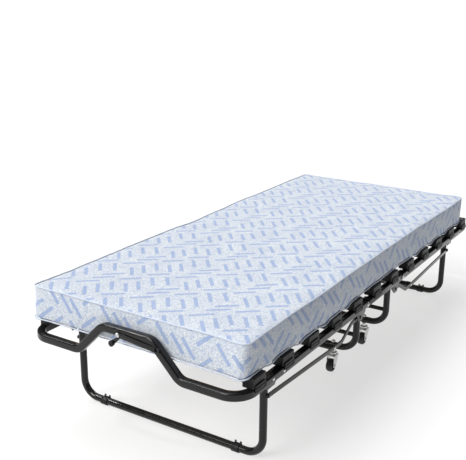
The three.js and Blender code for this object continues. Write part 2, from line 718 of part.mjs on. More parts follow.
function centreSection() {
  const centre = new THREE.Group();
  for (const side of [-1, 1]) {
    addMesh(centre, `centre_rail_${sideName(side)}`, centreRail(side), paintedSteel());
  }
  for (const [label, end] of [['foot', -1], ['head', 1]]) {
    addMesh(centre, `${label}_caster_leg`, casterLeg(), paintedSteel(), [end * CASTER_LEG_X, 0, 0]);
    addMesh(centre, `centre_slat_${label}`, slat(), birch(), [end * 0.5 * SLAT_PITCH, 0, 0]);
    for (const side of [-1, 1]) {
      const place = `${label}_${sideName(side)}`;
      addMesh(centre, `hinge_plate_${place}`, hingePlate(end, side), paintedSteel());
      addMesh(centre, `hinge_bolt_${place}`, hingeBolt(side), zinc(), [end * HINGE_X, 0, RAIL_Z]);
      const swivel = [end * CASTER_LEG_X, side * CASTER_Y, 0];
      addMesh(centre, `caster_fork_${place}`, casterFork(), zinc(), swivel);
      const axle = [swivel[0] - CASTER_TRAIL, swivel[1], WHEEL_RADIUS];
      addMesh(centre, `caster_wheel_${place}`, casterWheel(), wheelRubber(), axle);
    }
  }
  const middle = mattress(-MATTRESS_SPLIT_X + 0.5, MATTRESS_SPLIT_X - 0.5, 0, 0);
  addMesh(centre, 'mattress_middle', middle, ticking());
  return centre;
}

const bed = new THREE.Group();
const footHalf = bedHalf('foot', -1);
const headHalf = bedHalf('head', 1);
addMesh(footHalf, 'latch', latch(), paintedSteel(), [0, -LATCH_Y, LATCH_Z]);
addMesh(footHalf, 'latch_bolt', endBarFastener(BOLT_RADIUS, 7), zinc(), [0, -LATCH_Y, LATCH_Z]);
addMesh(headHalf, 'latch_stud', endBarFastener(LATCH_STUD_RADIUS, 8), zinc(), [0, LATCH_Y, LATCH_Z]);
bed.add(centreSection(), footHalf, headHalf);

export default bed;
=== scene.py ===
import json
import math
from functools import partial

import bmesh
import bpy
import numpy as np
from mathutils import Matrix, Vector, noise


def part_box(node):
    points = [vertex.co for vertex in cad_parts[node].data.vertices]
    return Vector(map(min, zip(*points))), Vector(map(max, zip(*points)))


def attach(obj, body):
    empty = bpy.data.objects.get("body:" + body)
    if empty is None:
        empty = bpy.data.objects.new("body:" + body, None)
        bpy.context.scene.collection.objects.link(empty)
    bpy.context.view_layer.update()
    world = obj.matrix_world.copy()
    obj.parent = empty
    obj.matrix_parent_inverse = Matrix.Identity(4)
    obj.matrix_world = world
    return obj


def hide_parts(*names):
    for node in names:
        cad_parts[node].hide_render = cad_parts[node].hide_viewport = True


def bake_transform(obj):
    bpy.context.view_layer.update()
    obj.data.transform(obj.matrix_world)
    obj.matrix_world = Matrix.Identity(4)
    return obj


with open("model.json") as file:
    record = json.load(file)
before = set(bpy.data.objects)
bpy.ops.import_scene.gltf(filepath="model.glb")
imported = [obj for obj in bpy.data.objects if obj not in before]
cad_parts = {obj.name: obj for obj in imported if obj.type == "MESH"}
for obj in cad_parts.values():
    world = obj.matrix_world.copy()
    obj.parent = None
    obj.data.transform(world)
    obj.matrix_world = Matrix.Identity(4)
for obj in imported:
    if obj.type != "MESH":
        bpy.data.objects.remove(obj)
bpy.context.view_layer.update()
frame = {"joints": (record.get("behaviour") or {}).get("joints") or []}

# ---- Driving dimensions: the frame's own boxes and pivots, then what they don't give -------------

PIVOTS = {joint["name"]: Vector(joint["pos_m"]) for joint in frame["joints"]}


def box(node):
    low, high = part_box(node)
    return Vector(low), Vector(high)


GAP = 0.0003  # between the faces of metal parts that touch on the real bed
FINE_EDGE = 0.0003  # rounding of shanks and washers

rail_low, rail_high = box("centre_rail_left")
RAIL_Y = (rail_low.y + rail_high.y) / 2
RAIL_Z = (rail_low.z + rail_high.z) / 2
RAIL_HALF = (rail_high.z - rail_low.z) / 2
RAIL_CORNER = 0.0055  # radius of the square tube's edges
CENTRE_RAIL_END = rail_high.x

frame_high = box("head_frame_tube")[1]
HINGE = PIVOTS["fold_head"]
END_BAR_X = frame_high.x - RAIL_HALF
HUMP_Z = frame_high.z - RAIL_HALF
CORNER_RADIUS = 0.064
HUMP_TOP_Y = 0.094
HUMP_FOOT_Y = 0.194
HUMP_BEND_RADIUS = 0.045

leg_low, leg_high = box("head_end_leg")
LEG_PIVOT = PIVOTS["head_leg_fold"]
STAY_PIVOT = PIVOTS["head_stay_swing"]
TUBE_RADIUS = (leg_high.x - leg_low.x) / 2
LEG_Y = 0.362
LEG_TOP_Z = leg_high.z
LEG_BAR_Z = leg_low.z + TUBE_RADIUS
LEG_BEND_RADIUS = 0.060
STUD_Z = LEG_PIVOT.z - (HINGE.z - STAY_PIVOT.z)

caster_leg_low, caster_leg_high = box("head_caster_leg")
CASTER_LEG_X = PIVOTS["swivel_head_left"].x
CASTER_Y = PIVOTS["swivel_head_left"].y
CASTER_BAR_Z = caster_leg_low.z + TUBE_RADIUS
CASTER_BEND_RADIUS = 0.062
BRACE_Z = 0.165
BRACE_RADIUS = 0.008
TRAIL = PIVOTS["swivel_head_left"].x - PIVOTS["roll_head_left"].x
AXLE_Z = PIVOTS["roll_head_left"].z

plate_low, plate_high = box("hinge_plate_head_left")
PLATE_OUTER_Y = RAIL_Y - RAIL_HALF - GAP
PLATE_INNER_Y = PLATE_OUTER_Y - 0.0035
stay_low, stay_high = box("head_stay_left")
TIE_RADIUS = 0.010

SLAT_PITCH = 0.1667
SLAT_WIDTH = 0.060
SLAT_THICKNESS = 0.009
SLAT_END_Z = 0.3405
SLAT_MIDDLE_Z = 0.3485
HOLDER_INNER_Y = 0.373

pad_foot_low = box("mattress_foot")[0]
pad_head_low, pad_head_high = box("mattress_head")
PAD_X = (pad_foot_low.x, pad_head_high.x)
PAD_Y = pad_head_high.y
PAD_Z = (pad_head_low.z, pad_head_high.z)
PAD_BEND = (0.110, 0.225)  # |x| where the mattress starts and ends its bend over a hinge

BOLT_RADIUS = 0.004
HEAD_RADIUS = 0.0068
HALVES = (("foot", -1), ("head", 1))
SIDES = (("left", 1), ("right", -1))
DEGREE = math.pi / 180


# ---- Node materials -------------------------------------------------------------------------------


class Nodes:
    """A material's node tree, built by short calls. An input may be a socket or a plain value."""

    def __init__(self, name):
        self.material = bpy.data.materials.new(name)
        self.material.use_nodes = True
        self.tree = self.material.node_tree
        self.shader = self.tree.nodes["Principled BSDF"]

    def put(self, socket, value):
        if isinstance(value, bpy.types.NodeSocket):
            self.tree.links.new(value, socket)
        else:
            socket.default_value = value

    def add(self, kind, inputs=(), **settings):
        node = self.tree.nodes.new(kind)
        for key, value in settings.items():
            setattr(node, key, value)
        for key, value in dict(inputs).items():
            self.put(node.inputs[key], value)
        return node

    def math(self, operation, *values):
        return self.add("ShaderNodeMath", enumerate(values), operation=operation).outputs[0]

    def noise(self, vector, scale, detail=2.0, roughness=0.5):
        inputs = {"Vector": vector, "Scale": scale, "Detail": detail, "Roughness": roughness}
        return self.add("ShaderNodeTexNoise", inputs).outputs["Fac"]

    def mix(self, share, a, b, blend_type="MIX"):
        node = self.add("ShaderNodeMix", data_type="RGBA", blend_type=blend_type)
        for index, value in ((0, share), (6, a), (7, b)):  # the factor and the two colour inputs
            self.put(node.inputs[index], value)
        return node.outputs[2]

    def remap(self, value, low, high, to_low=0.0, to_high=1.0):
        return self.add("ShaderNodeMapRange", enumerate((value, low, high, to_low, to_high))).outputs[0]

    def object_place(self, stretch=(1, 1, 1)):
        place = self.add("ShaderNodeTexCoord").outputs["Object"]
        return self.add("ShaderNodeMapping", {"Vector": place, "Scale": stretch}).outputs[0]

    def bump(self, height, distance, strength):
        inputs = {"Height": height, "Distance": distance, "Strength": strength}
        return self.add("ShaderNodeBump", inputs).outputs["Normal"]

    def surface(self, **inputs):
        for key, value in inputs.items():
            self.put(self.shader.inputs[key.replace("_", " ")], value)
        return self.material


def black_paint():
    """Gloss black powder coat: faint orange peel, uneven gloss and a trace of dust on top."""
    n = Nodes("black_paint")
    place = n.object_place()
    patches = n.noise(place, 35.0, 3.0)
    peel = n.noise(place, 900.0, 2.0)
    up = n.add("ShaderNodeSeparateXYZ", {"Vector": n.add("ShaderNodeNewGeometry").outputs["Normal"]})
    dust = n.math("MULTIPLY", n.remap(up.outputs["Z"], 0.5, 1.0), n.remap(patches, 0.50, 0.80, 0.0, 0.22))
    colour = n.mix(dust, (0.0075, 0.0072, 0.0072, 1), (0.024, 0.023, 0.022, 1))
    return n.surface(
        Base_Color=colour,
        Roughness=n.remap(patches, 0.3, 0.7, 0.15, 0.25),
        Specular_IOR_Level=0.20,
        Coat_Weight=0.30,
        Coat_Roughness=0.20,
        Normal=n.bump(peel, 0.00008, 0.20),
    )


def zinc():
    """Bright zinc plate with a cloudy, slightly yellowed passivation."""
    n = Nodes("zinc")
    place = n.object_place()
    cloud = n.noise(place, 140.0, 4.0)
    scratch = n.noise(n.object_place((60, 900, 60)), 6.0, 2.0)
    return n.surface(
        Base_Color=n.mix(cloud, (0.72, 0.73, 0.76, 1), (0.56, 0.55, 0.52, 1)),
        Metallic=1.0,
        Roughness=n.remap(cloud, 0.3, 0.7, 0.20, 0.36),
        Normal=n.bump(scratch, 0.00008, 0.3),
    )


def black_plastic():
    """Moulded black plastic with a fine spark-eroded grain."""
    n = Nodes("black_plastic")
    place = n.object_place()
    grain = n.noise(place, 1500.0, 2.0)
    cloud = n.noise(place, 60.0, 3.0)
    return n.surface(
        Base_Color=n.mix(cloud, (0.006, 0.006, 0.007, 1), (0.013, 0.013, 0.014, 1)),
        Roughness=n.remap(cloud, 0.3, 0.7, 0.38, 0.52),
        Specular_IOR_Level=0.25,
        Normal=n.bump(grain, 0.00010, 0.4),
    )


def wheel_rubber():
    """Caster tread and hub: satin black, scuffed grey where it has rolled."""
    n = Nodes("wheel_rubber")
    place = n.object_place()
    scuff = n.remap(n.noise(place, 220.0, 5.0, 0.65), 0.52, 0.72)
    return n.surface(
        Base_Color=n.mix(scuff, (0.010, 0.010, 0.011, 1), (0.034, 0.033, 0.031, 1)),
        Roughness=n.remap(scuff, 0.0, 1.0, 0.42, 0.65),
        Normal=n.bump(n.noise(place, 700.0, 2.0), 0.00015, 0.4),
    )


def birch():
    """Bent birch slats: fine grain along Y, pores, and the darker glue lines of the plies."""
    n = Nodes("birch")
    grain = n.noise(n.object_place((1, 0.03, 1)), 260.0, 5.0, 0.6)
    figure = n.noise(n.object_place((1, 0.12, 1)), 22.0, 3.0)
    pores = n.remap(n.noise(n.object_place((1, 0.02, 1)), 900.0, 2.0), 0.58, 0.70)
    tone = n.mix(grain, (0.61, 0.42, 0.22, 1), (0.42, 0.26, 0.12, 1))
    tone = n.mix(n.remap(figure, 0.35, 0.7, 0.0, 0.5), tone, (0.70, 0.52, 0.30, 1))
    tone = n.mix(n.math("MULTIPLY", pores, 0.45), tone, (0.24, 0.14, 0.07, 1))
    return n.surface(
        Base_Color=tone,
        Roughness=n.remap(grain, 0.3, 0.7, 0.38, 0.55),
        Normal=n.bump(grain, 0.00020, 0.35),
    )


# The woven pattern, in metres on the cloth: dashes in two directions, repeated on a slanted grid.
# Each dash is given by its centre in the repeat, across and along.
PATTERN_TURN = 40 * DEGREE
REPEAT_ACROSS = 0.158
REPEAT_ALONG = 0.320
REPEAT_STEP = 0.148  # each repeat lies this much further along than the one before it
DASH_LENGTH = 0.073
DASH_WIDTH = 0.0125
LONG_DASHES = ((0.000, 0.000), (0.030, 0.050), (0.057, 0.081), (0.008, 0.137), (0.036, 0.231))
CROSS_DASHES = (
    *((0.130, 0.036), (0.128, 0.085), (0.077, 0.142), (0.092, 0.182)),
    *((0.109, 0.226), (0.088, 0.270), (0.098, 0.310)),
)
DASH_LEAD = 0.001  # a repeat starts this far before its first dash
RAGGED_EDGE = 0.0030  # how far the loops of the knit push a dash's edge about


def dash_mask(n, across, along, dashes, half_across, half_along):
    """1 on the dashes and 0 off them, for the repeat that starts just before the first dash."""
    first_across = min(dash[0] for dash in dashes) - half_across - DASH_LEAD
    first_along = min(dash[1] for dash in dashes) - half_along - DASH_LEAD
    column = n.math("FLOOR", n.math("DIVIDE", n.math("SUBTRACT", across, first_across), REPEAT_ACROSS))
    u = n.math("SUBTRACT", across, n.math("MULTIPLY", column, REPEAT_ACROSS))
    shifted = n.math("SUBTRACT", along, n.math("MULTIPLY_ADD", column, REPEAT_STEP, first_along))
    v = n.math("ADD", n.math("FLOORED_MODULO", shifted, REPEAT_ALONG), first_along)
    total = 0.0
    for centre_across, centre_along in dashes:
        inside_u = n.math("COMPARE", u, centre_across, half_across)
        inside_v = n.math("COMPARE", v, centre_along, half_along)
        total = n.math("MULTIPLY_ADD", inside_u, inside_v, total)
    return n.math("MINIMUM", total, 1.0)


def ticking():
    """Knitted mattress ticking: a looped white and pale blue ground with darker blue dashes."""
    n = Nodes("ticking")
    cloth = n.add("ShaderNodeUVMap", uv_map="cloth").outputs[0]
    split = n.add("ShaderNodeSeparateXYZ", {"Vector": cloth})
    x, y = split.outputs["X"], split.outputs["Y"]
    ragged = n.math("MULTIPLY", n.math("SUBTRACT", n.noise(cloth, 520.0, 1.0), 0.5), RAGGED_EDGE)
    cos, sin = math.cos(PATTERN_TURN), math.sin(PATTERN_TURN)
    across = n.math("ADD", n.math("MULTIPLY_ADD", x, cos, n.math("MULTIPLY", y, sin)), ragged)
    along = n.math("ADD", n.math("SUBTRACT", n.math("MULTIPLY", x, sin), n.math("MULTIPLY", y, cos)), ragged)

    loops = n.add("ShaderNodeTexVoronoi", {"Vector": cloth, "Scale": 290.0, "Randomness": 0.5})
    loop_height = n.math("SUBTRACT", 1.0, loops.outputs["Distance"])
    cell_tone = n.add("ShaderNodeSeparateColor", {"Color": loops.outputs["Color"]})
    ground = n.mix(cell_tone.outputs[0], (0.65, 0.69, 0.73, 1), (0.38, 0.44, 0.55, 1))
    cream = n.math("MULTIPLY", n.remap(cell_tone.outputs[1], 0.70, 0.80), 0.55)
    ground = n.mix(cream, ground, (0.76, 0.75, 0.69, 1))
    long_mask = dash_mask(n, across, along, LONG_DASHES, DASH_WIDTH / 2, DASH_LENGTH / 2)
    cross_mask = dash_mask(n, across, along, CROSS_DASHES, DASH_LENGTH / 2, DASH_WIDTH / 2)
    mask = n.math("MAXIMUM", long_mask, cross_mask)
    thread = n.mix(cell_tone.outputs[2], (0.235, 0.325, 0.55, 1), (0.305, 0.395, 0.62, 1))
    ground = n.mix(n.math("MULTIPLY", mask, 0.82), ground, thread)
    height = n.math("MULTIPLY_ADD", mask, -0.5, loop_height)
    soft = n.noise(cloth, 9.0, 2.0)
    ground = n.mix(n.remap(soft, 0.35, 0.65, 0.0, 0.22), ground, (0.62, 0.66, 0.80, 1), "MULTIPLY")
    return n.surface(
        Base_Color=ground,
        Roughness=0.88,
        Sheen_Weight=0.25,
        Sheen_Roughness=0.5,
        Sheen_Tint=(0.86, 0.90, 1.0, 1),
        Normal=n.bump(height, 0.0018, 0.75),
    )


def piping_tape():
    """Woven binding over the seams: fine diagonal ribs, white with a blue cast."""
    n = Nodes("piping_tape")
    cloth = n.add("ShaderNodeUVMap", uv_map="cloth").outputs[0]
    ribs = n.add("ShaderNodeTexWave", {"Vector": cloth, "Scale": 420.0, "Distortion": 0.6})
    tone = n.mix(ribs.outputs["Fac"], (0.42, 0.48, 0.60, 1), (0.68, 0.73, 0.81, 1))
    return n.surface(
        Base_Color=tone,
        Roughness=0.75,
        Sheen_Weight=0.2,
        Normal=n.bump(ribs.outputs["Fac"], 0.0004, 0.5),
    )


PAINT = black_paint()
ZINC = zinc()
PLASTIC = black_plastic()
RUBBER = wheel_rubber()
BIRCH = birch()
TICKING = ticking()
PIPING = piping_tape()


# ---- Solids ---------------------------------------------------------------------------------------


BEND_STEP = 5 * DEGREE  # between the stations of a bent tube
SHARP_ANGLE = 38 * DEGREE  # edges folded more than this are shaded as creases
BEVEL_ANGLE = 30 * DEGREE  # edges folded more than this are softened
WEAVE_ROUND = 0.016  # metres of cloth round a swept piece


def circle(radius, sides=28):
    turns = [2 * math.pi * k / sides for k in range(sides)]
    return [(radius * math.cos(turn), radius * math.sin(turn)) for turn in turns]


def rounded_square(half, corner, steps=5):
    points = []
    for quarter in range(4):
        turn = Matrix.Rotation(quarter * math.pi / 2, 2)
        for k in range(steps + 1):
            angle = k / steps * math.pi / 2
            reach = half - corner
            point = Vector((reach + corner * math.cos(angle), reach + corner * math.sin(angle)))
            points.append(tuple(turn @ point))
    return points


def straight(start, end):
    start, end = Vector(start), Vector(end)
    direction = (end - start).normalized()
    return [(start, direction, 1.0), (end, direction, 1.0)]


def bent(points, radii):
    """Stations (place, direction, scale) along a polyline with its corners bent to the given radii."""
    points = [Vector(point) for point in points]
    stations = [(points[0], (points[1] - points[0]).normalized(), 1.0)]
    for i, radius in enumerate(radii, 1):
        before = (points[i] - points[i - 1]).normalized()
        after = (points[i + 1] - points[i]).normalized()
        angle = before.angle(after)
        inward = (after - before * before.dot(after)).normalized()
        centre = points[i] - before * radius * math.tan(angle / 2) + inward * radius
        steps = max(2, round(angle / BEND_STEP))
        for k in range(steps + 1):
            turn = angle * k / steps
            place = centre - inward * radius * math.cos(turn) + before * radius * math.sin(turn)
            stations.append((place, before * math.cos(turn) + inward * math.sin(turn), 1.0))
    stations.append((points[-1], (points[-1] - points[-2]).normalized(), 1.0))
    return stations


def rounded_ends(stations, radius, edge=0.002):
    """The same stations with a small round at both ends, as a plugged tube or a turned rod has."""
    rounds = [(1 - edge / radius, 0.0), (1 - 0.3 * edge / radius, 0.3 * edge)]
    first, last = stations[0], stations[-1]
    starts = [(first[0] + first[1] * along, first[1], scale) for scale, along in rounds]
    starts.append((first[0] + first[1] * edge, first[1], 1.0))
    ends = [(last[0] - last[1] * along, last[1], scale) for scale, along in reversed(rounds)]
    ends.insert(0, (last[0] - last[1] * edge, last[1], 1.0))
    return starts + stations[1:-1] + ends


def bridge(bm, ring, following):
    """The faces between two rings of vertices."""
    corners = zip(ring, ring[1:] + ring[:1], following[1:] + following[:1], following)
    return [bm.faces.new(four) for four in corners]


def tube(bm, rings):
    """A closed tube through rings of vertices: its two ends, then the faces of each step along it."""
    bm.faces.new(rings[0][::-1])
    bm.faces.new(rings[-1])
    return [bridge(bm, ring, following) for ring, following in zip(rings, rings[1:])]


def sweep(stations, section, normal):
    """A closed tube of the section along the stations. `normal` is its first axis at the start."""
    bm = bmesh.new()
    cloth = bm.loops.layers.uv.new("cloth")
    normal = Vector(normal)
    last = stations[0][1]
    rings = []
    for place, direction, scale in stations:
        normal = last.rotation_difference(direction) @ normal
        normal = (normal - direction * normal.dot(direction)).normalized()
        other = direction.cross(normal)
        rings.append([bm.verts.new(place + (normal * a + other * b) * scale) for a, b in section])
        last = direction
    run = 0.0
    for here, faces in enumerate(tube(bm, rings)):
        end = run + (stations[here + 1][0] - stations[here][0]).length
        for i, face in enumerate(faces):
            low, high = (step / len(faces) * WEAVE_ROUND for step in (i, i + 1))
            for loop, place in zip(face.loops, ((run, low), (run, high), (end, high), (end, low))):
                loop[cloth].uv = place
        run = end
    return bm


def rod(start, end, radius, sides=28, edge=0.0012):
    stations = rounded_ends(straight(start, end), radius, edge)
    normal = stations[0][1].orthogonal().normalized()
    return sweep(stations, circle(radius, sides), normal)


def turned(profile, place, axis, sides=28):
    """A solid of revolution about `axis`, from (radius, distance along it) steps."""
    place, axis = Vector(place), Vector(axis).normalized()
    normal = axis.orthogonal().normalized()
    other = axis.cross(normal)
    turns = [2 * math.pi * (k + 0.5) / sides for k in range(sides)]
    spokes = [normal * math.cos(turn) + other * math.sin(turn) for turn in turns]
    bm = bmesh.new()
    rings = []
    for radius, along in profile:
        rings.append([bm.verts.new(place + axis * along + spoke * radius) for spoke in spokes])
    tube(bm, rings)
    return bm


def bevelled(bm, width, segments=2):
    bmesh.ops.recalc_face_normals(bm, faces=bm.faces)
    edges = [edge for edge in bm.edges if edge.is_manifold and edge.calc_face_angle(0) > BEVEL_ANGLE]
    bmesh.ops.bevel(
        bm, geom=edges, offset=width, segments=segments, profile=0.6, affect="EDGES", clamp_overlap=True
    )
    return bm


def slab(outline, low, high, bevel, plane="XZ"):
    """A plate of the outline between two Y planes, or two X planes for plane YZ, with softened edges."""
    bm = bmesh.new()

    def at(point, depth):
        if plane == "XZ":
            return (point[0], depth, point[1])
        return (depth, point[0], point[1])

    tube(bm, [[bm.verts.new(at(point, depth)) for point in outline] for depth in (low, high)])
    return bevelled(bm, bevel)


def block(low, high, bevel, segments=3):
    bm = bmesh.new()
    centre = (Vector(low) + Vector(high)) / 2
    size = Vector(high) - Vector(low)
    sides = Matrix.Diagonal((abs(size.x), abs(size.y), abs(size.z), 1))
    bmesh.ops.create_cube(bm, size=1, matrix=Matrix.Translation(centre) @ sides)
    return bevelled(bm, bevel, segments)


def stadium(centre, half_length, radius, steps=10):
    """An outline with round ends, long in its first direction."""
    points = []
    for end in (1, -1):
        for k in range(steps + 1):
            angle = (k / steps - 0.5) * math.pi + (0 if end > 0 else math.pi)
            reach = end * (half_length - radius) + radius * math.cos(angle)
            points.append((centre[0] + reach, centre[1] + radius * math.sin(angle)))
    return points


def together(*shells):
    """One bmesh of several closed shells."""
    whole = bmesh.new()
    for shell in shells:
        mesh = bpy.data.meshes.new("part")
        shell.to_mesh(mesh)
        shell.free()
        whole.from_mesh(mesh)
        bpy.data.meshes.remove(mesh)
    return whole


def hex_head(place, axis, radius=HEAD_RADIUS, height=0.0042):
    """A hexagon head or nut with its washer face and chamfered corners."""
    profile = [
        (radius * 0.92, 0.0),
        (radius * 0.98, 0.0005),
        (radius, height * 0.72),
        (radius * 0.80, height),
    ]
    return turned(profile, place, axis, sides=6)


def pan_head(place, axis, radius=HEAD_RADIUS, height=0.0038):
    """A domed rivet or screw head."""
    profile = []
    for k in range(7):
        angle = k / 6 * math.pi / 2
        profile.append((max(radius * math.cos(angle), radius * 0.08), height * math.sin(angle)))
    return turned(profile, place, axis)


def nut_and_shank(place, axis, nut, head, nut_height, radius=BOLT_RADIUS, sides=16):
    """A nut that faces back along the axis, and the shank from it to the head's seat."""
    return together(
        hex_head(place + axis * nut, -axis, height=nut_height),
        rod(place + axis * nut, place + axis * head, radius, sides, FINE_EDGE),
    )


def spacer(place, axis, near, far):
    return rod(place + axis * near, place + axis * far, radius=0.008, sides=24, edge=0.0006)


def placed(name, data):
    """A new object of the data, in the scene."""
    thing = bpy.data.objects.new(name, data)
    bpy.context.scene.collection.objects.link(thing)
    return thing


def make(name, bm, material, body=None, replaces=(), turn=False):
    """A finished piece from a bmesh. `turn` turns it half round Z, from the head to the foot half."""
    if turn:
        bmesh.ops.rotate(bm, verts=bm.verts, cent=(0, 0, 0), matrix=Matrix.Rotation(math.pi, 3, "Z"))
    bmesh.ops.recalc_face_normals(bm, faces=bm.faces)
    for face in bm.faces:
        face.smooth = True
    for edge in bm.edges:
        edge.smooth = not edge.is_manifold or edge.calc_face_angle(0) < SHARP_ANGLE
    mesh = bpy.data.meshes.new(name)
    bm.to_mesh(mesh)
    bm.free()
    mesh.materials.append(material)
    piece = placed(name, mesh)
    if body:
        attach(piece, body)
    if replaces:
        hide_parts(*replaces)
    return piece


# ---- One half, drawn for the head half and turned half round for the foot half --------------------


def frame_tube():
    """Square-tube loop with rounded corners, the raised middle of its end bar, and round hinge ends."""
    corners = [
        (HINGE.x, -RAIL_Y, RAIL_Z),
        (END_BAR_X, -RAIL_Y, RAIL_Z),
        (END_BAR_X, -HUMP_FOOT_Y, RAIL_Z),
        (END_BAR_X, -HUMP_TOP_Y, HUMP_Z),
        (END_BAR_X, HUMP_TOP_Y, HUMP_Z),
        (END_BAR_X, HUMP_FOOT_Y, RAIL_Z),
        (END_BAR_X, RAIL_Y, RAIL_Z),
        (HINGE.x, RAIL_Y, RAIL_Z),
    ]
    stations = bent(corners, [CORNER_RADIUS] + [HUMP_BEND_RADIUS] * 4 + [CORNER_RADIUS])
    shells = [sweep(stations, rounded_square(RAIL_HALF, RAIL_CORNER), (0, 1, 0))]
    for side in (-1, 1):
        shells.append(round_rail_end(HINGE.x, side))
    return together(*shells)


def round_rail_end(x, side):
    """The rail's half-round end about the hinge axis: its section turned about Y."""
    profile = []
    steps = 5
    for k in range(steps + 1):
        angle = k / steps * math.pi / 2
        reach = RAIL_HALF - RAIL_CORNER
        profile.append((reach + RAIL_CORNER * math.sin(angle), -reach - RAIL_CORNER * math.cos(angle)))
    profile += [(radius, -along) for radius, along in reversed(profile)]
    return turned(profile, (x, side * RAIL_Y, RAIL_Z), (0, 1, 0), sides=40)


def leg_gusset(side):
    """Folded plate under the rail that carries the end leg, with its two rivets."""
    top = RAIL_Z + RAIL_HALF - 0.0005
    shoulder, bottom = 0.296, LEG_PIVOT.z - 0.026
    half_top, half_bottom = 0.045, 0.024
    outline = [
        (LEG_PIVOT.x - half_top, top),
        (LEG_PIVOT.x - half_top, shoulder),
        (LEG_PIVOT.x - half_bottom, bottom),
        (LEG_PIVOT.x + half_bottom, bottom),
        (LEG_PIVOT.x + half_top, shoulder),
        (LEG_PIVOT.x + half_top, top),
    ]
    return slab(outline, side * PLATE_INNER_Y, side * PLATE_OUTER_Y, 0.0009)


def leg_bolt(side):
    """The end leg's pivot: hexagon nut inside, spacer and shank, and a domed head outside."""
    inner = LEG_Y - TUBE_RADIUS - GAP
    outer = PLATE_OUTER_Y + GAP
    place = Vector((LEG_PIVOT.x, 0, LEG_PIVOT.z))
    axis = Vector((0, side, 0))
    return together(
        nut_and_shank(place, axis, inner, outer, nut_height=0.0045),
        spacer(place, axis, LEG_Y + TUBE_RADIUS + GAP, PLATE_INNER_Y - GAP),
        pan_head(place + axis * outer, axis),
    )


def rail_rivets(side):
    """Bright rivets through the rail that hold a gusset."""
    shells = []
    for offset in (-0.032, 0.032):
        place = (LEG_PIVOT.x + offset, side * (RAIL_Y + RAIL_HALF), RAIL_Z + 0.001)
        shells.append(pan_head(place, (0, side, 0), radius=0.0052, height=0.0026))
    return together(*shells)


def end_leg():
    x = LEG_PIVOT.x
    corners = [(x, -LEG_Y, LEG_TOP_Z), (x, -LEG_Y, LEG_BAR_Z), (x, LEG_Y, LEG_BAR_Z), (x, LEG_Y, LEG_TOP_Z)]
    stations = rounded_ends(bent(corners, [LEG_BEND_RADIUS] * 2), TUBE_RADIUS, 0.003)
    shells = [sweep(stations, circle(TUBE_RADIUS, 32), (1, 0, 0))]
    for side in (-1, 1):
        axis = Vector((0, side, 0))
        root = Vector((x, side * (LEG_Y + TUBE_RADIUS - 0.002), STUD_Z))
        head = Vector((x, side * (abs(stay_high.y) + GAP), STUD_Z))
        shells.append(rod(root, head, BOLT_RADIUS, 16, FINE_EDGE))
        shells.append(hex_head(head, axis, height=0.0030))
    return together(*shells)


def glide(side):
    """Plastic clip under the floor bar, open at the top, with an ear at each lip."""
    outer, inner = LEG_BAR_Z, TUBE_RADIUS + GAP
    reach, steps = 150 * DEGREE, 30
    half = 0.013
    centre = Vector((LEG_PIVOT.x, side * 0.268, LEG_BAR_Z))
    outline = []
    for radius, way in ((outer, 1), (inner, -1)):
        for k in range(steps + 1):
            angle = -math.pi / 2 + way * (2 * k / steps - 1) * reach
            outline.append((centre.x + radius * math.cos(angle), centre.z + radius * math.sin(angle)))
    shells = [slab(outline, centre.y - half, centre.y + half, 0.0007)]
    for way in (-1, 1):
        lip = -math.pi / 2 + way * (reach - 5 * DEGREE)
        out = Vector((math.cos(lip), 0, math.sin(lip)))
        for end in (-1, 1):
            ear_low = Vector((-0.0016, -0.0032, -0.0020))
            ear = block(ear_low, -ear_low + Vector((0, 0, 0.0032)), 0.0006, 2)
            turn = Vector((0, 0, 1)).rotation_difference(out).to_matrix().to_4x4()
            place = centre + out * outer + Vector((0, end * (half - 0.0034), 0))
            bmesh.ops.transform(ear, verts=ear.verts, matrix=Matrix.Translation(place) @ turn)
            shells.append(ear)
    for end in (-1, 1):
        shells.append(clip_rib(centre, end * (half - 0.003), outer))
    return together(*shells)


def clip_rib(centre, offset, outer):
    """A raised rib round the upper part of a glide."""
    stations = []
    for k in range(21):
        angle = -math.pi / 2 + (k / 20 * 2 - 1) * 100 * DEGREE
        if math.sin(angle) * outer < -outer * 0.72:
            continue
        out = Vector((math.cos(angle), 0, math.sin(angle)))
        along = Vector((-math.sin(angle), 0, math.cos(angle)))
        stations.append((centre + out * (outer - 0.0001) + Vector((0, offset, 0)), along, 1.0))
    halves = [stations[: len(stations) // 2], stations[len(stations) // 2 :]]
    return together(*[sweep(half, circle(0.0009, 8), (0, 1, 0)) for half in halves])


def mitred_strip(points, half_width):
    """The outline of a flat bar along a polyline, with round ends."""
    points = [Vector(point) for point in points]
    ways = [(b - a).normalized() for a, b in zip(points, points[1:])]
    upper, lower = [], []
    for i in range(1, len(points) - 1):
        a = Vector((-ways[i - 1].y, ways[i - 1].x))
        b = Vector((-ways[i].y, ways[i].x))
        mitre = (a + b).normalized()
        reach = half_width / mitre.dot(b)
        upper.append(points[i] + mitre * reach)
        lower.append(points[i] - mitre * reach)

    def end(point, way):
        turns = [(k / 10 - 0.5) * math.pi for k in range(11)]
        across = Vector((-way.y, way.x))
        return [point + (way * math.cos(t) + across * math.sin(t)) * half_width for t in turns]

    return end(points[-1], ways[-1]) + list(reversed(upper)) + end(points[0], -ways[0]) + lower


STAY_CRANKS = ((0.225, -0.005), (0.300, None), (0.372, None))
TIE_Z = 0.2045
TIE_X = 0.360


def stay(side):
    """Flat bar from the hinge plate to the end leg, cranked down past the tie tube."""
    inner, outer = sorted((abs(stay_low.y), abs(stay_high.y)))
    points = [(HINGE.x, STAY_PIVOT.z)]
    for x, dip in STAY_CRANKS:
        points.append((x, TIE_Z if dip is None else STAY_PIVOT.z + dip))
    points.append((LEG_PIVOT.x, STUD_Z))
    return slab(mitred_strip(points, 0.0075), side * inner, side * outer, 0.0008)


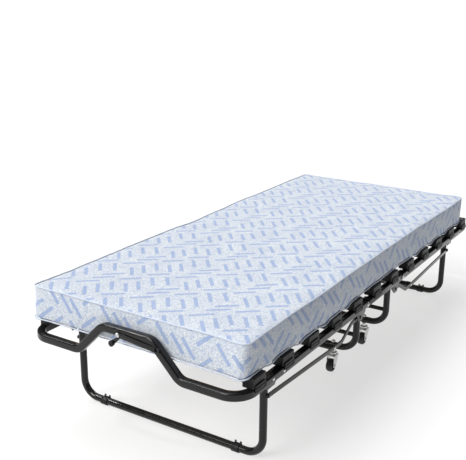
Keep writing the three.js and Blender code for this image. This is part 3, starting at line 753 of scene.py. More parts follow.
def tie_tube():
    """Round tube between the two stays, with a collar and a bolt at each end."""
    half = abs(stay_low.y) - GAP
    shells = [rod((TIE_X, -half, TIE_Z), (TIE_X, half, TIE_Z), TIE_RADIUS, 28, 0.0015)]
    for side in (-1, 1):
        start = (TIE_X, side * (half - 0.016), TIE_Z)
        shells.append(rod(start, (TIE_X, side * half, TIE_Z), TIE_RADIUS + 0.0018, 28, 0.0008))
    return together(*shells)


def tie_bolts():
    """The bolts that pin the tie tube to the stays."""
    outer = max(abs(stay_low.y), abs(stay_high.y))
    shells = []
    for side in (-1, 1):
        shells.append(pan_head((TIE_X, side * outer, TIE_Z), (0, side, 0), radius=0.0058, height=0.0030))
    return together(*shells)


def plank(x):
    """Arched laminated slat with rounded long edges."""
    steps = 24
    end_y = PLATE_INNER_Y
    rise = SLAT_MIDDLE_Z - SLAT_END_Z
    stations = []
    for k in range(steps + 1):
        across = 2 * k / steps - 1
        way = Vector((0, end_y, -2 * rise * across)).normalized()
        stations.append((Vector((x, across * end_y, SLAT_MIDDLE_Z - rise * across**2)), way, 1.0))
    half, thick, edge = SLAT_WIDTH / 2, SLAT_THICKNESS / 2, 0.0022
    section = []
    for cx, cz, start in ((half, thick, 0), (-half, thick, 1), (-half, -thick, 2), (half, -thick, 3)):
        for k in range(4):
            angle = (start + k / 3) * math.pi / 2
            a = cx - math.copysign(edge, cx) + edge * math.cos(angle)
            b = cz - math.copysign(edge, cz) + edge * math.sin(angle)
            section.append((a, b))
    return sweep(stations, [(-a, b) for a, b in reversed(section)], (1, 0, 0))


def holder(x, side):
    """Plastic cap on the rail for a slat's end: socket, rounded top, and an oval lip outside the rail."""
    face = RAIL_Y + RAIL_HALF
    lip_z = 0.3150
    low = (x - 0.035, side * HOLDER_INNER_Y, RAIL_Z + RAIL_HALF + GAP)
    high = (x + 0.035, side * (RAIL_Y + 0.011), 0.352)
    shells = [block(low, high, bevel=0.0035, segments=4)]
    socket_low = Vector((x - 0.033, side * (HOLDER_INNER_Y - 0.014), SLAT_END_Z - 0.0075))
    socket_high = Vector((x + 0.033, side * (HOLDER_INNER_Y + 0.004), SLAT_END_Z + 0.0080))
    shells.append(block(socket_low, socket_high, bevel=0.0022))
    lip_face = side * (face + 0.0022)
    shells.append(slab(stadium((x, lip_z), 0.031, 0.0085), side * (face + GAP), lip_face, bevel=0.0006))
    shells.append(slab(stadium((x, 0.3235), 0.028, 0.006), side * 0.404, lip_face, bevel=0.0010))
    rim = [(point[0], lip_face, point[1]) for point in stadium((x, lip_z), 0.0285, 0.0060)]
    shells.append(ring_of_wire(rim, 0.0011))
    return together(*shells)


def ring_of_wire(points, radius):
    """A closed loop of round wire through the points."""
    bm = bmesh.new()
    points = [Vector(point) for point in points]
    normal = Vector((0, 1, 0))
    rings = []
    for before, point, after in zip(points[-1:] + points, points, points[1:] + points[:1]):
        other = (after - before).normalized().cross(normal)
        rings.append([bm.verts.new(point + normal * a + other * b) for a, b in circle(radius, 8)])
    for ring, following in zip(rings, rings[1:] + rings[:1]):
        bridge(bm, ring, following)
    return bm


def slat(name, x, body):
    make(f"{name}_plank", plank(x), BIRCH, body, [name])
    make(f"{name}_holders", together(holder(x, 1), holder(x, -1)), PLASTIC, body)


def build_half(label, end):
    turn = end < 0
    half, leg, stays = f"{label}_half", f"{label}_leg", f"{label}_stays"
    put = partial(make, turn=turn)
    put(f"{label}_frame_loop", frame_tube(), PAINT, half, [f"{label}_frame_tube"])
    put(f"{label}_leg_loop", end_leg(), PAINT, leg, [f"{label}_end_leg"])
    put(f"{label}_tie", tie_tube(), PAINT, stays, [f"{label}_tie_tube"])
    put(f"{label}_tie_bolts", tie_bolts(), ZINC, stays)
    for side_name, side in SIDES:
        here = side * end  # the half is drawn turned, so its left and right swap at the foot
        put(f"{label}_gusset_{side_name}", leg_gusset(here), PAINT, half, [f"{label}_leg_gusset_{side_name}"])
        put(f"{label}_pivot_bolt_{side_name}", leg_bolt(here), ZINC, half, [f"{label}_leg_bolt_{side_name}"])
        put(f"{label}_rail_rivets_{side_name}", rail_rivets(here), ZINC, half)
        put(f"{label}_stay_bar_{side_name}", stay(here), PAINT, stays, [f"{label}_stay_{side_name}"])
        put(f"{label}_glide_clip_{side_name}", glide(here), PLASTIC, leg, [f"{label}_glide_{side_name}"])
    for k in range(1, 6):
        slat(f"{label}_slat_{k}", end * (k + 0.5) * SLAT_PITCH, half)


# ---- Centre section -------------------------------------------------------------------------------


def hinge_plate(end, side):
    """Plate between the rails and the caster leg, with the welded block and the stay's stud."""
    low, high = plate_low, plate_high
    top = RAIL_Z + RAIL_HALF - 0.0005
    bottom = STAY_PIVOT.z - 0.014
    outline = [(low.x, top), (low.x, 0.262), (0.154, bottom), (0.182, bottom), (high.x, 0.286), (high.x, top)]
    outline = [(end * x, z) for x, z in outline]
    axis = Vector((0, side, 0))
    leg_face = LEG_Y + TUBE_RADIUS
    block_low = (end * 0.129, side * (leg_face - 0.0010), 0.266)
    block_high = (end * 0.150, side * (PLATE_INNER_Y + 0.001), 0.312)
    stud = Vector((end * HINGE.x, 0, STAY_PIVOT.z))
    inner, outer = sorted((abs(stay_low.y), abs(stay_high.y)))
    return together(
        slab(outline, side * PLATE_INNER_Y, side * PLATE_OUTER_Y, 0.0009),
        block(block_low, block_high, 0.0020, 2),
        rod(stud + axis * (inner - 0.002), stud + axis * PLATE_OUTER_Y, BOLT_RADIUS, 16, FINE_EDGE),
        spacer(stud, axis, outer + GAP, PLATE_INNER_Y + 0.001),
        hex_head(stud + axis * (inner - GAP), -axis, HEAD_RADIUS, 0.0036),
        pan_head(stud + axis * PLATE_OUTER_Y, axis, HEAD_RADIUS, 0.0034),
    )


def hinge_bolt(end, side):
    """The fold hinge's bolt: nut on the plate, shank through the rail's end, domed head outside."""
    axis = Vector((0, side, 0))
    place = Vector((end * HINGE.x, 0, HINGE.z))
    outer = RAIL_Y + RAIL_HALF + GAP
    inner = PLATE_INNER_Y - GAP
    return together(
        nut_and_shank(place, axis, inner, outer, nut_height=0.0028),
        rod(place + axis * outer, place + axis * (outer + 0.0008), 0.0082, 28, FINE_EDGE),
        pan_head(place + axis * (outer + 0.0006), axis, HEAD_RADIUS, 0.0032),
    )


def caster_leg(end):
    x, top = end * CASTER_LEG_X, caster_leg_high.z
    corners = [(x, -LEG_Y, top), (x, -LEG_Y, CASTER_BAR_Z), (x, LEG_Y, CASTER_BAR_Z), (x, LEG_Y, top)]
    stations = rounded_ends(bent(corners, [CASTER_BEND_RADIUS] * 2), TUBE_RADIUS, 0.003)
    brace = rod((x, -LEG_Y, BRACE_Z), (x, LEG_Y, BRACE_Z), BRACE_RADIUS, 24, 0.001)
    shells = [sweep(stations, circle(TUBE_RADIUS, 32), (1, 0, 0)), brace]
    for side in (-1, 1):
        shells.append(weld_bead(x, side * (LEG_Y - TUBE_RADIUS), BRACE_Z))
    return together(*shells)


def weld_bead(x, y, z):
    """The lumpy fillet of weld round the brace where it meets the leg."""
    points = []
    steps, lumps, lump_height = 28, 7, 0.0006
    for k in range(steps):
        angle = 2 * math.pi * k / steps
        reach = BRACE_RADIUS + lump_height * math.sin(lumps * angle)
        sink = TUBE_RADIUS - math.sqrt(TUBE_RADIUS**2 - (BRACE_RADIUS * math.cos(angle)) ** 2)
        points.append((x + reach * math.cos(angle), y + math.copysign(sink, y), z + reach * math.sin(angle)))
    return ring_of_wire(points, 0.0018)


def caster_fork(end, side):
    """Stamped fork with rounded cheeks, its ball-race housing, kingpin and nut, and the axle bolt."""
    x, y = end * CASTER_LEG_X, side * CASTER_Y
    crown_z, front, back = 0.065, 0.015, -0.019
    inner, outer = 0.0136, 0.0161
    eye, axle_x = 0.0085, -TRAIL
    cheek = [(x + back, crown_z), (x + front, crown_z), (x + front, crown_z - 0.010)]
    for k in range(13):
        angle = -0.5 - k / 12 * (math.pi - 0.5)
        cheek.append((x + axle_x + eye * math.cos(angle), AXLE_Z + eye * math.sin(angle)))
    shells = []
    for way in (-1, 1):
        shells.append(slab(cheek, y + way * inner, y + way * outer, 0.0006))
    crown_low = (x + back - 0.001, y - outer - 0.0004, crown_z - 0.0028)
    crown_high = (x + front + 0.001, y + outer + 0.0004, crown_z + 0.0006)
    shells.append(block(crown_low, crown_high, 0.0014, 3))
    under_bar = CASTER_BAR_Z - TUBE_RADIUS - 0.0005
    race = [
        (0.0150, 0.0),
        (0.0158, 0.0012),
        (0.0158, 0.0040),
        (0.0146, 0.0052),
        (0.0146, 0.0062),
        (0.0156, 0.0074),
        (0.0150, 0.0104),
        (0.0112, 0.0128),
        (0.0092, 0.0134),
        (0.0092, under_bar - crown_z - 0.001),
        (0.0086, under_bar - crown_z),
    ]
    shells.append(turned(race, (x, y, crown_z), (0, 0, 1), 32))
    bar_top = CASTER_BAR_Z + TUBE_RADIUS
    shells.append(rod((x, y, under_bar - 0.001), (x, y, bar_top + 0.008), 0.005, 20, 0.0008))
    shells.append(hex_head(Vector((x, y, bar_top + 0.0005)), (0, 0, 1), 0.0084, 0.0055))
    for way in (-1, 1):
        place = Vector((x + axle_x, y + way * outer, AXLE_Z))
        shells.append(hex_head(place, (0, way, 0), 0.0056, 0.0028))
    return together(*shells)


def caster_wheel(end, side):
    """Hard rubber wheel: round tread, recessed web with a raised hub, and a moulded ring on each face."""
    x, y = end * CASTER_LEG_X - TRAIL, side * CASTER_Y
    radius, half = AXLE_Z, 0.0118
    side_profile = [
        (0.0040, half - 0.0004),
        (0.0078, half - 0.0004),
        (0.0084, half - 0.0010),
        (0.0086, half - 0.0042),
        (0.0155, half - 0.0042),
        (0.0162, half - 0.0034),
        (0.0168, half - 0.0006),
        (0.0190, half),
        (0.0212, half - 0.0006),
        (0.0232, half - 0.0022),
        (0.0245, half - 0.0050),
        (radius, half - 0.0085),
    ]
    profile = [(r, -d) for r, d in side_profile] + [(r, d) for r, d in reversed(side_profile)]
    return turned(profile, (x, y, AXLE_Z), (0, 1, 0), 48)


def build_centre():
    for side_name, side in SIDES:
        y = side * RAIL_Y
        ends = straight((-CENTRE_RAIL_END, y, RAIL_Z), (CENTRE_RAIL_END, y, RAIL_Z))
        rail = sweep(rounded_ends(ends, RAIL_HALF, 0.001), rounded_square(RAIL_HALF, RAIL_CORNER), (0, 1, 0))
        make(f"mid_rail_{side_name}", rail, PAINT, "centre", [f"centre_rail_{side_name}"])
    for label, end in HALVES:
        make(f"{label}_caster_loop", caster_leg(end), PAINT, "centre", [f"{label}_caster_leg"])
        slat(f"centre_slat_{label}", end * 0.5 * SLAT_PITCH, "centre")
        for side_name, side in SIDES:
            place = f"{label}_{side_name}"
            plate, bolt = hinge_plate(end, side), hinge_bolt(end, side)
            fork, wheel = caster_fork(end, side), caster_wheel(end, side)
            make(f"hinge_gusset_{place}", plate, PAINT, "centre", [f"hinge_plate_{place}"])
            make(f"hinge_pin_{place}", bolt, ZINC, "centre", [f"hinge_bolt_{place}"])
            make(f"fork_shell_{place}", fork, ZINC, f"fork_{place}", [f"caster_fork_{place}"])
            make(f"wheel_tyre_{place}", wheel, RUBBER, f"wheel_{place}", [f"caster_wheel_{place}"])


# ---- Latch ----------------------------------------------------------------------------------------


LATCH_THICKNESS = 0.004
KNOB_PLACE = (-0.0200, -0.0340)  # from the hook's pivot, along the hook and up
LATCH_DROOP = 5 * DEGREE
HOOK_HALF = 0.0046  # half the width of the hook's mouth
END_FACE_X = END_BAR_X + RAIL_HALF
FASTENER_START_X = END_FACE_X + 0.0051


def latch_place(points):
    """Points drawn along the hook and up from its pivot, as places across and up on the foot end bar."""
    pivot = PIVOTS["latch_swing"]
    spin = Matrix.Rotation(-LATCH_DROOP, 2)
    return [(pivot.y - (spin @ Vector(point)).x, pivot.z + (spin @ Vector(point)).y) for point in points]


def latch_plate():
    """The hook and its tail, cut from flat bar."""
    face = box("latch")[1].x
    reach = 2 * (HINGE.x - (PIVOTS["latch_swing"].z - RAIL_Z))  # from the pivot to the stud, folded
    tip, boss = reach + 0.011, 0.0105
    arm = [
        (0.010, -0.0080),
        (tip - 0.004, -0.0090),
        (tip, -0.0050),
        (tip, 0.0060),
        (tip - 0.003, 0.0090),
        (reach + HOOK_HALF, 0.0090),
        (reach + HOOK_HALF, -0.0025),
        (reach + HOOK_HALF / 2, -0.0050),
        (reach - HOOK_HALF / 2, -0.0050),
        (reach - HOOK_HALF, -0.0025),
        (reach - HOOK_HALF, 0.0070),
        (0.010, 0.0080),
    ]
    for k in range(9):
        angle = math.pi / 4 + k / 8 * 1.5 * math.pi
        arm.append((boss * math.cos(angle), boss * math.sin(angle)))
    tail = [(0.003, -0.004), (-0.0260, -0.0275), (-0.0145, -0.0390), (0.011, -0.0075)]
    shells = [slab(latch_place(part), face - LATCH_THICKNESS, face, 0.0007, "YZ") for part in (arm, tail)]
    return together(*shells)


def latch_knob():
    """Moulded knob at the end of the latch's tail, waisted for the fingers."""
    face = box("latch")[1].x
    centre = latch_place([KNOB_PLACE])[0]
    profile = [
        (0.0086, 0.0),
        (0.0092, 0.0008),
        (0.0090, 0.0032),
        (0.0082, 0.0044),
        (0.0086, 0.0058),
        (0.0098, 0.0070),
        (0.0098, 0.0088),
        (0.0080, 0.0102),
        (0.0030, 0.0108),
    ]
    return turned(profile, (face, centre[0], centre[1]), (-1, 0, 0), 32)


def end_bar_fastener(end, y, shank_radius, head_radius):
    """The bolt or stud through an end bar at the latch's height, with its nut behind."""
    place, axis = Vector((0, y, PIVOTS["latch_swing"].z)), Vector((end, 0, 0))
    inner, outer = END_BAR_X - RAIL_HALF - GAP, place + axis * FASTENER_START_X
    return together(
        nut_and_shank(place, axis, inner, FASTENER_START_X, 0.0034, shank_radius, sides=18),
        rod(outer, outer + axis * 0.0009, head_radius, 28, FINE_EDGE),
        pan_head(outer + axis * 0.0007, axis, head_radius * 0.86, 0.0032),
    )


def build_latch():
    y = PIVOTS["latch_swing"].y
    make("latch_hook", latch_plate(), PAINT, "latch", ["latch"])
    make("latch_knob", latch_knob(), PLASTIC, "latch")
    make("latch_pivot_bolt", end_bar_fastener(-1, y, BOLT_RADIUS, 0.0076), ZINC, "foot_half", ["latch_bolt"])
    make("latch_catch_stud", end_bar_fastener(1, y, 0.0036, 0.0084), ZINC, "head_half", ["latch_stud"])


# ---- Mattress -------------------------------------------------------------------------------------

PAD_STEP = 0.0125  # size of a face on the mattress
PAD_BAND_ROWS = 9
PAD_CORNER_CELLS = 2
PAD_SWELL = {"top": 0.0048, "bottom": 0.0016, "band": 0.0085}  # most that each part may swell
PAD_SEAM_IN = 0.0025  # the seams lie this far inside the mattress's box
PAD_WAIST = 0.0045  # it draws in across the middle, where it folds
PAD_EAR = 0.008  # its corners are pulled out this far
PAD_LEAN = 0.010  # at the foot end the underside leans to one side
PAD_SAG = 0.009  # its underside sags this far between the slats
PAD_WAVE = 0.0065  # slow wander of the seams
WAVE_RATE = (3.1, 3.1, 9.0)  # waves to the metre, more of them up the band
SEAM_Z = (PAD_Z[0] + PAD_SEAM_IN * 0.6, PAD_Z[1] - PAD_SEAM_IN)
LEAN_SPAN = (0.45, 0.97)  # |x| over which the lean comes in
SAG_SPAN = (0.040, 0.080)  # from a slat's middle to where the sag is full
SAG_START = (0.24, 0.28)  # |x| beyond which it sags, clear of the centre section
UNDERSIDE_SHIFT = 0.07  # the underside is cut from another place in the cloth
PUCKER = 0.00121  # little gathers beside the seams
PUCKER_LENGTH = 0.021
PUCKER_FADE = 0.014
SIM_FRAMES = 20
PIPING_RADIUS = 0.0025
PIPING_OUT = 0.0011  # its centre lies this far outside the seam
PIPING_LIFT = 0.0006  # and this far up or down from it


def smoothstep(low, high, value):
    t = min(1.0, max(0.0, (value - low) / (high - low)))
    return t * t * (3 - 2 * t)


class Pad:
    """The mattress's surface: a top and a bottom panel on one grid, and a band round them."""

    def __init__(self):
        self.places, self.faces, self.cloth, self.halves = [], [], [], []
        self.kinds = []
        x0, x1 = PAD_X[0] + PAD_SEAM_IN, PAD_X[1] - PAD_SEAM_IN
        half = PAD_Y - PAD_SEAM_IN
        self.foot_cells = round(-x0 / PAD_STEP)
        head_cells = round(x1 / PAD_STEP)
        self.xs = list(np.linspace(x0, 0, self.foot_cells + 1)) + list(np.linspace(0, x1, head_cells + 1)[1:])
        self.ys = list(np.linspace(-half, half, round(2 * half / PAD_STEP) + 1))
        self.nx, self.ny = len(self.xs) - 1, len(self.ys) - 1
        bottom_z, top_z = SEAM_Z
        self.top = self.panel(top_z, "top")
        self.bottom = self.panel(bottom_z, "bottom")
        self.rim = self.rim_cells()
        self.band(top_z, bottom_z)
        self.panel_faces()
        self.wander()

    def vertex(self, x, y, z, kind):
        self.places.append(Vector((x, y, z)))
        self.kinds.append(kind)
        return len(self.places) - 1

    def rounded(self, i, j):
        """The place in plan of a grid crossing, with the corner blocks drawn round."""
        x, y = self.xs[i], self.ys[j]
        c = PAD_CORNER_CELLS
        near_i = c if i < c else self.nx - c if i > self.nx - c else None
        near_j = c if j < c else self.ny - c if j > self.ny - c else None
        if near_i is None or near_j is None:
            return x, y
        corner_x, corner_y = self.xs[near_i], self.ys[near_j]
        reach_x = (self.xs[0] if i < c else self.xs[-1]) - corner_x
        reach_y = (self.ys[0] if j < c else self.ys[-1]) - corner_y
        a, b = (x - corner_x) / reach_x, (y - corner_y) / reach_y
        return (
            corner_x + reach_x * a * math.sqrt(1 - b * b / 2),
            corner_y + reach_y * b * math.sqrt(1 - a * a / 2),
        )

    def panel(self, z, kind):
        grid = []
        for i in range(self.nx + 1):
            grid.append([self.vertex(*self.rounded(i, j), z, kind) for j in range(self.ny + 1)])
        return grid

    def rim_cells(self):
        nx, ny = self.nx, self.ny
        rim = [(i, 0) for i in range(nx)] + [(nx, j) for j in range(ny)]
        return rim + [(i, ny) for i in range(nx, 0, -1)] + [(0, j) for j in range(ny, 0, -1)]

    def half_of(self, i):
        return "foot" if i < self.foot_cells else "head"

    def add_face(self, corners, cloth, half):
        self.faces.append(corners)
        self.cloth.append(cloth)
        self.halves.append(half)

    def panel_faces(self):
        for i in range(self.nx):
            for j in range(self.ny):
                cell = [(i, j), (i + 1, j), (i + 1, j + 1), (i, j + 1)]
                flat = [(self.xs[a], self.ys[b]) for a, b in cell]
                self.add_face([self.top[a][b] for a, b in cell], flat, self.half_of(i))
                under = [self.bottom[a][b] for a, b in reversed(cell)]
                shifted = [(x + UNDERSIDE_SHIFT, -y) for x, y in reversed(flat)]
                self.add_face(under, shifted, self.half_of(i))

    def band(self, top_z, bottom_z):
        rim, count = self.rim, len(self.rim)
        columns = []
        for i, j in rim:
            x, y = self.rounded(i, j)
            column = [self.top[i][j]]
            for k in range(1, PAD_BAND_ROWS):
                z = top_z + (bottom_z - top_z) * k / PAD_BAND_ROWS
                column.append(self.vertex(x, y, z, "band"))
            columns.append(column + [self.bottom[i][j]])
        run = 0.0
        for p in range(count):
            q = (p + 1) % count
            start, end = self.places[columns[p][0]], self.places[columns[q][0]]
            after = run + (end - start).length
            half = self.half_of(min(rim[p][0], rim[q][0]))
            for k in range(PAD_BAND_ROWS):
                upper, lower = (self.places[columns[p][row]].z for row in (k, k + 1))
                corners = [columns[p][k], columns[p][k + 1], columns[q][k + 1], columns[q][k]]
                self.add_face(corners, [(run, upper), (run, lower), (after, lower), (after, upper)], half)
            run = after

    def wander(self):
        """Draws the sides in at the waist and lets every edge wander a little."""
        for place in self.places:
            reach = abs(place.y) / PAD_Y
            waist = PAD_WAIST * (1 - smoothstep(PAD_BEND[0], PAD_BEND[1] + 0.05, abs(place.x)))
            place.y -= math.copysign(waist * reach**4, place.y)
            slow = Vector([at * rate for at, rate in zip(place, WAVE_RATE)])
            edge = max(reach, (place.x / PAD_X[1]) if place.x > 0 else place.x / PAD_X[0]) ** 6
            place.y += PAD_WAVE * edge * noise.noise(slow + Vector((7.3, 0, 0)))
            height = (place.z - PAD_Z[0]) / (PAD_Z[1] - PAD_Z[0])
            along = place.x / (PAD_X[1] if place.x > 0 else PAD_X[0])
            ear = PAD_EAR * (reach * along) ** 10
            place.x += math.copysign(ear, place.x)
            place.y += math.copysign(ear, place.y)
            place.y += PAD_LEAN * (1 - height) * smoothstep(*LEAN_SPAN, -place.x)
            between = abs(abs(place.x) / SLAT_PITCH % 1 - 0.5) * SLAT_PITCH
            sag = PAD_SAG * smoothstep(*SAG_SPAN, between) * smoothstep(*SAG_START, abs(place.x))
            place.z -= sag * (1 - height) ** 3
            place.z += 0.6 * PAD_WAVE * edge * height * noise.noise(slow * 1.7 + Vector((0, 3.9, 0)))

    def seams(self):
        return [[grid[i][j] for i, j in self.rim] for grid in (self.top, self.bottom)]

    def mesh(self, name, keep=None):
        """A mesh of all the faces, or of one half with its cut closed."""
        chosen = [k for k, half in enumerate(self.halves) if keep is None or half == keep]
        used = sorted({v for k in chosen for v in self.faces[k]})
        number = {v: n for n, v in enumerate(used)}
        faces = [[number[v] for v in self.faces[k]] for k in chosen]
        cloth = [uv for k in chosen for uv in self.cloth[k]]
        cut = self.cut_loop() if keep else []
        if cut:
            ordered = cut if keep == "head" else list(reversed(cut))
            faces.append([number[v] for v in ordered])
            cloth += [(self.places[v].y, self.places[v].z) for v in ordered]
        mesh = bpy.data.meshes.new(name)
        mesh.from_pydata([self.places[v] for v in used], [], faces)
        layer = mesh.uv_layers.new(name="cloth")
        layer.data.foreach_set("uv", np.array(cloth, np.float32).ravel())
        mesh.polygons.foreach_set("use_smooth", [True] * len(faces))
        if cut:
            self.sharpen(mesh, {number[v] for v in cut})
        return mesh

    def cut_loop(self):
        """The vertices round the cross-section at x = 0, facing the foot end."""
        i = self.foot_cells
        row = {self.rim[p]: p for p in range(len(self.rim))}
        near, far = row[(i, 0)], row[(i, self.ny)]
        loop = [self.top[i][j] for j in range(self.ny + 1)]
        loop += self.band_column(far) + [self.bottom[i][j] for j in range(self.ny, -1, -1)]
        return loop + list(reversed(self.band_column(near)))

    def band_column(self, p):
        """The band's own vertices under one rim cell, from the top down."""
        first = 2 * (self.nx + 1) * (self.ny + 1) + p * (PAD_BAND_ROWS - 1)
        return list(range(first, first + PAD_BAND_ROWS - 1))

    @staticmethod
    def sharpen(mesh, ring):
        sharp = [set(edge.vertices) <= ring for edge in mesh.edges]
        mesh.attributes.new("sharp_edge", "BOOLEAN", "EDGE").data.foreach_set("value", sharp)
        crease = mesh.attributes.new("crease_edge", "FLOAT", "EDGE")
        crease.data.foreach_set("value", [1.0 if flag else 0.0 for flag in sharp])

    def normals(self):
        mesh = self.mesh("measure")
        found = [vertex.normal.copy() for vertex in mesh.vertices]
        bpy.data.meshes.remove(mesh)
        return found

    def swell(self):
        """Lets air pressure fill the cover between its pinned seams, then caps how far it swells."""
        pinned = sorted({v for loop in self.seams() for v in loop})
        normals = self.normals()
        swollen = blown_up(self.mesh("pad_sim"), pinned)
        for v in set(range(len(self.places))) - set(pinned):
            move = swollen[v] - self.places[v]
            cap = PAD_SWELL[self.kinds[v]]
            if move.length > 1e-7:
                self.places[v] += move * (cap * math.tanh(move.length / cap) / move.length)

    def pucker(self):
        """Small gathers beside the seams, where the stitching draws the cover in."""
        normals = self.normals()
        for v, place in enumerate(self.places):
            if self.kinds[v] == "band":
                off = min(abs(place.z - seam_z) for seam_z in SEAM_Z)
            else:
                off = min(PAD_Y - abs(place.y), place.x - PAD_X[0], PAD_X[1] - place.x)
            fade = math.exp(-max(0.0, off) / PUCKER_FADE)
            if fade < 0.02:
                continue
            run = (place.x + place.y * 0.9) / PUCKER_LENGTH
            wave = noise.noise(Vector((run, place.z * 12, 0.5)))
            self.places[v] = place + normals[v] * (PUCKER * wave * fade)


def blown_up(mesh, pinned):
    """Where each vertex is after the cloth simulation, with the pinned ones held."""
    pad = placed("pad_sim", mesh)
    pad.vertex_groups.new(name="seams").add(pinned, 1.0, "REPLACE")
    cloth = pad.modifiers.new("cloth", "CLOTH")
    cloth.settings.use_pressure = True
    cloth.settings.uniform_pressure_force = 4.0
    cloth.settings.vertex_group_mass = "seams"
    cloth.settings.effector_weights.gravity = 0.0
    cloth.settings.tension_stiffness = 12.0
    cloth.settings.compression_stiffness = 12.0
    cloth.settings.quality = 4
    cloth.point_cache.frame_start, cloth.point_cache.frame_end = 1, SIM_FRAMES
    for number in range(1, SIM_FRAMES + 1):
        bpy.context.scene.frame_set(number)
    evaluated = pad.evaluated_get(bpy.context.evaluated_depsgraph_get())
    places = [vertex.co.copy() for vertex in evaluated.data.vertices]
    bpy.data.objects.remove(pad)
    bpy.data.meshes.remove(mesh)
    bpy.context.scene.frame_set(1)
    return places


def subdivided(mesh):
    """The mesh after one level of subdivision."""
    coarse = placed("subdivide", mesh)
    modifier = coarse.modifiers.new("subdivide", "SUBSURF")
    modifier.levels = modifier.render_levels = 1
    modifier.boundary_smooth = "PRESERVE_CORNERS"
    evaluated = coarse.evaluated_get(bpy.context.evaluated_depsgraph_get())
    fine = bpy.data.meshes.new_from_object(evaluated)
    bpy.data.objects.remove(coarse)
    return fine


def bend_with(piece):
    """Bakes the piece's placement into its mesh."""
    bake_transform(piece)


def piping(pad, label, end):
    """Piping along both seams of one half, on the outside of the mattress's edge."""
    shells = []
    for loop, lift in zip(pad.seams(), (PIPING_LIFT, -PIPING_LIFT)):
        places = [pad.places[v] for v in loop]
        inside = [place.x * end >= -1e-4 for place in places]
        first = next(k for k in range(len(loop)) if inside[k] and not inside[k - 1])
        run = [places[(first + k) % len(loop)] for k in range(sum(inside))]
        middle = Vector((0, 0, run[0].z))
        stations = []
        for k, place in enumerate(run):
            before, after = run[max(0, k - 1)], run[min(len(run) - 1, k + 1)]
            way = (after - before).normalized()
            if k in (0, len(run) - 1):
                way = Vector((math.copysign(1, way.x), 0, 0))
            outward = way.cross(Vector((0, 0, 1)))
            if outward.dot(place - middle) < 0:
                outward = -outward
            stations.append((place + outward * PIPING_OUT + Vector((0, 0, lift)), way, 1.0))
        shells.append(sweep(stations, circle(PIPING_RADIUS, 10), (0, 0, 1)))
    piece = make(f"piping_{label}", together(*shells), PIPING)
    bend_with(piece)


def build_mattress():
    pad = Pad()
    pad.swell()
    pad.pucker()
    replaced = {"foot": ["mattress_foot", "mattress_middle"], "head": ["mattress_head"]}
    for label, end in HALVES:
        mesh = subdivided(pad.mesh(f"pad_{label}", label))
        mesh.materials.append(TICKING)
        piece = placed(f"pad_{label}", mesh)
        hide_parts(*replaced[label])
        bend_with(piece)
        piping(pad, label, end)


# ---- Room, light and camera -----------------------------------------------------------------------

CAMERA_PLACE = (-2.6911, -1.4501, 1.4195)
CAMERA_TURN = 57.454 * DEGREE  # from +Y towards +X
CAMERA_DOWN = 17.341 * DEGREE
CAMERA_ROLL = 0.362 * DEGREE
CAMERA_LENS_MM = 62.78
FLOOR_SIZE = 160.0
FLOOR_GREY = 0.28
FLOOR_GLOW = 0.66  # the floor is a light table, so that shadows on it stay pale
SKY_FADE = (0.04, 0.11, 1.05, 0.03)  # from the white horizon, up to a dim room
SUNS = (  # name, where it shines from, spread, strength and colour
    ("key", (-1.0, 0.30, 0.85), 30 * DEGREE, 2.7, (1.0, 0.995, 0.98)),
    ("overhead", (0.10, 0.45, 1.0), 46 * DEGREE, 2.1, (0.99, 0.995, 1.0)),
    ("streaks_across", (-0.30, 0.58, 0.76), 5 * DEGREE, 0.75, (1.0, 1.0, 1.0)),
    ("streaks_along", (0.78, 0.25, 0.57), 5 * DEGREE, 0.35, (1.0, 1.0, 1.0)),
)


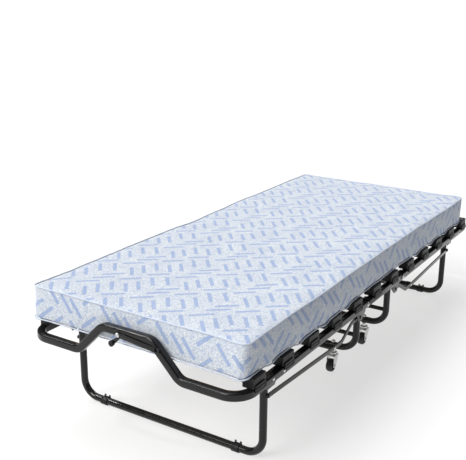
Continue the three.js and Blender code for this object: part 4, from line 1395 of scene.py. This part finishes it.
def floor():
    n = Nodes("floor")
    material = n.surface(
        Base_Color=(FLOOR_GREY, FLOOR_GREY, FLOOR_GREY, 1),
        Roughness=0.9,
        Specular_IOR_Level=0.0,
        Emission_Color=(1.0, 1.0, 1.0, 1),
        Emission_Strength=FLOOR_GLOW,
    )
    bm = bmesh.new()
    bmesh.ops.create_grid(bm, x_segments=2, y_segments=2, size=FLOOR_SIZE / 2)
    mesh = bpy.data.meshes.new("floor")
    bm.to_mesh(mesh)
    bm.free()
    mesh.materials.append(material)
    placed("floor", mesh)


def sun(name, source, spread, strength, colour):
    """A soft studio light far away in the direction of `source`."""
    data = bpy.data.lights.new(name, "SUN")
    data.angle = spread
    data.energy = strength
    data.color = colour
    placed(name, data).rotation_euler = Vector(source).to_track_quat("Z", "Y").to_euler()


def studio():
    world = bpy.data.worlds.new("studio")
    world.use_nodes = True
    tree = world.node_tree
    background = tree.nodes["Background"]
    background.inputs["Color"].default_value = (1.0, 1.0, 1.0, 1)
    direction = tree.nodes.new("ShaderNodeSeparateXYZ")
    tree.links.new(tree.nodes.new("ShaderNodeTexCoord").outputs["Generated"], direction.inputs[0])
    fade = tree.nodes.new("ShaderNodeMapRange")
    tree.links.new(direction.outputs["Z"], fade.inputs["Value"])
    for key, value in zip(("From Min", "From Max", "To Min", "To Max"), SKY_FADE):
        fade.inputs[key].default_value = value
    tree.links.new(fade.outputs[0], background.inputs["Strength"])
    bpy.context.scene.world = world
    for settings in SUNS:
        sun(*settings)


def camera():
    data = bpy.data.cameras.new("camera")
    data.lens = CAMERA_LENS_MM
    data.sensor_width = 36
    data.clip_start, data.clip_end = 0.05, 400
    eye = placed("camera", data)
    forward = Vector(
        (
            math.sin(CAMERA_TURN) * math.cos(CAMERA_DOWN),
            math.cos(CAMERA_TURN) * math.cos(CAMERA_DOWN),
            -math.sin(CAMERA_DOWN),
        )
    )
    right = forward.cross(Vector((0, 0, 1))).normalized()
    up = right.cross(forward)
    across = right * math.cos(CAMERA_ROLL) + up * math.sin(CAMERA_ROLL)
    upward = -right * math.sin(CAMERA_ROLL) + up * math.cos(CAMERA_ROLL)
    turn = Matrix((across, upward, -forward)).transposed()
    eye.matrix_world = Matrix.Translation(CAMERA_PLACE) @ turn.to_4x4()
    bpy.context.scene.camera = eye


for half_label, half_end in HALVES:
    build_half(half_label, half_end)
build_centre()
build_latch()
build_mattress()
floor()
studio()
camera()
bpy.context.scene.view_settings.view_transform = "Standard"
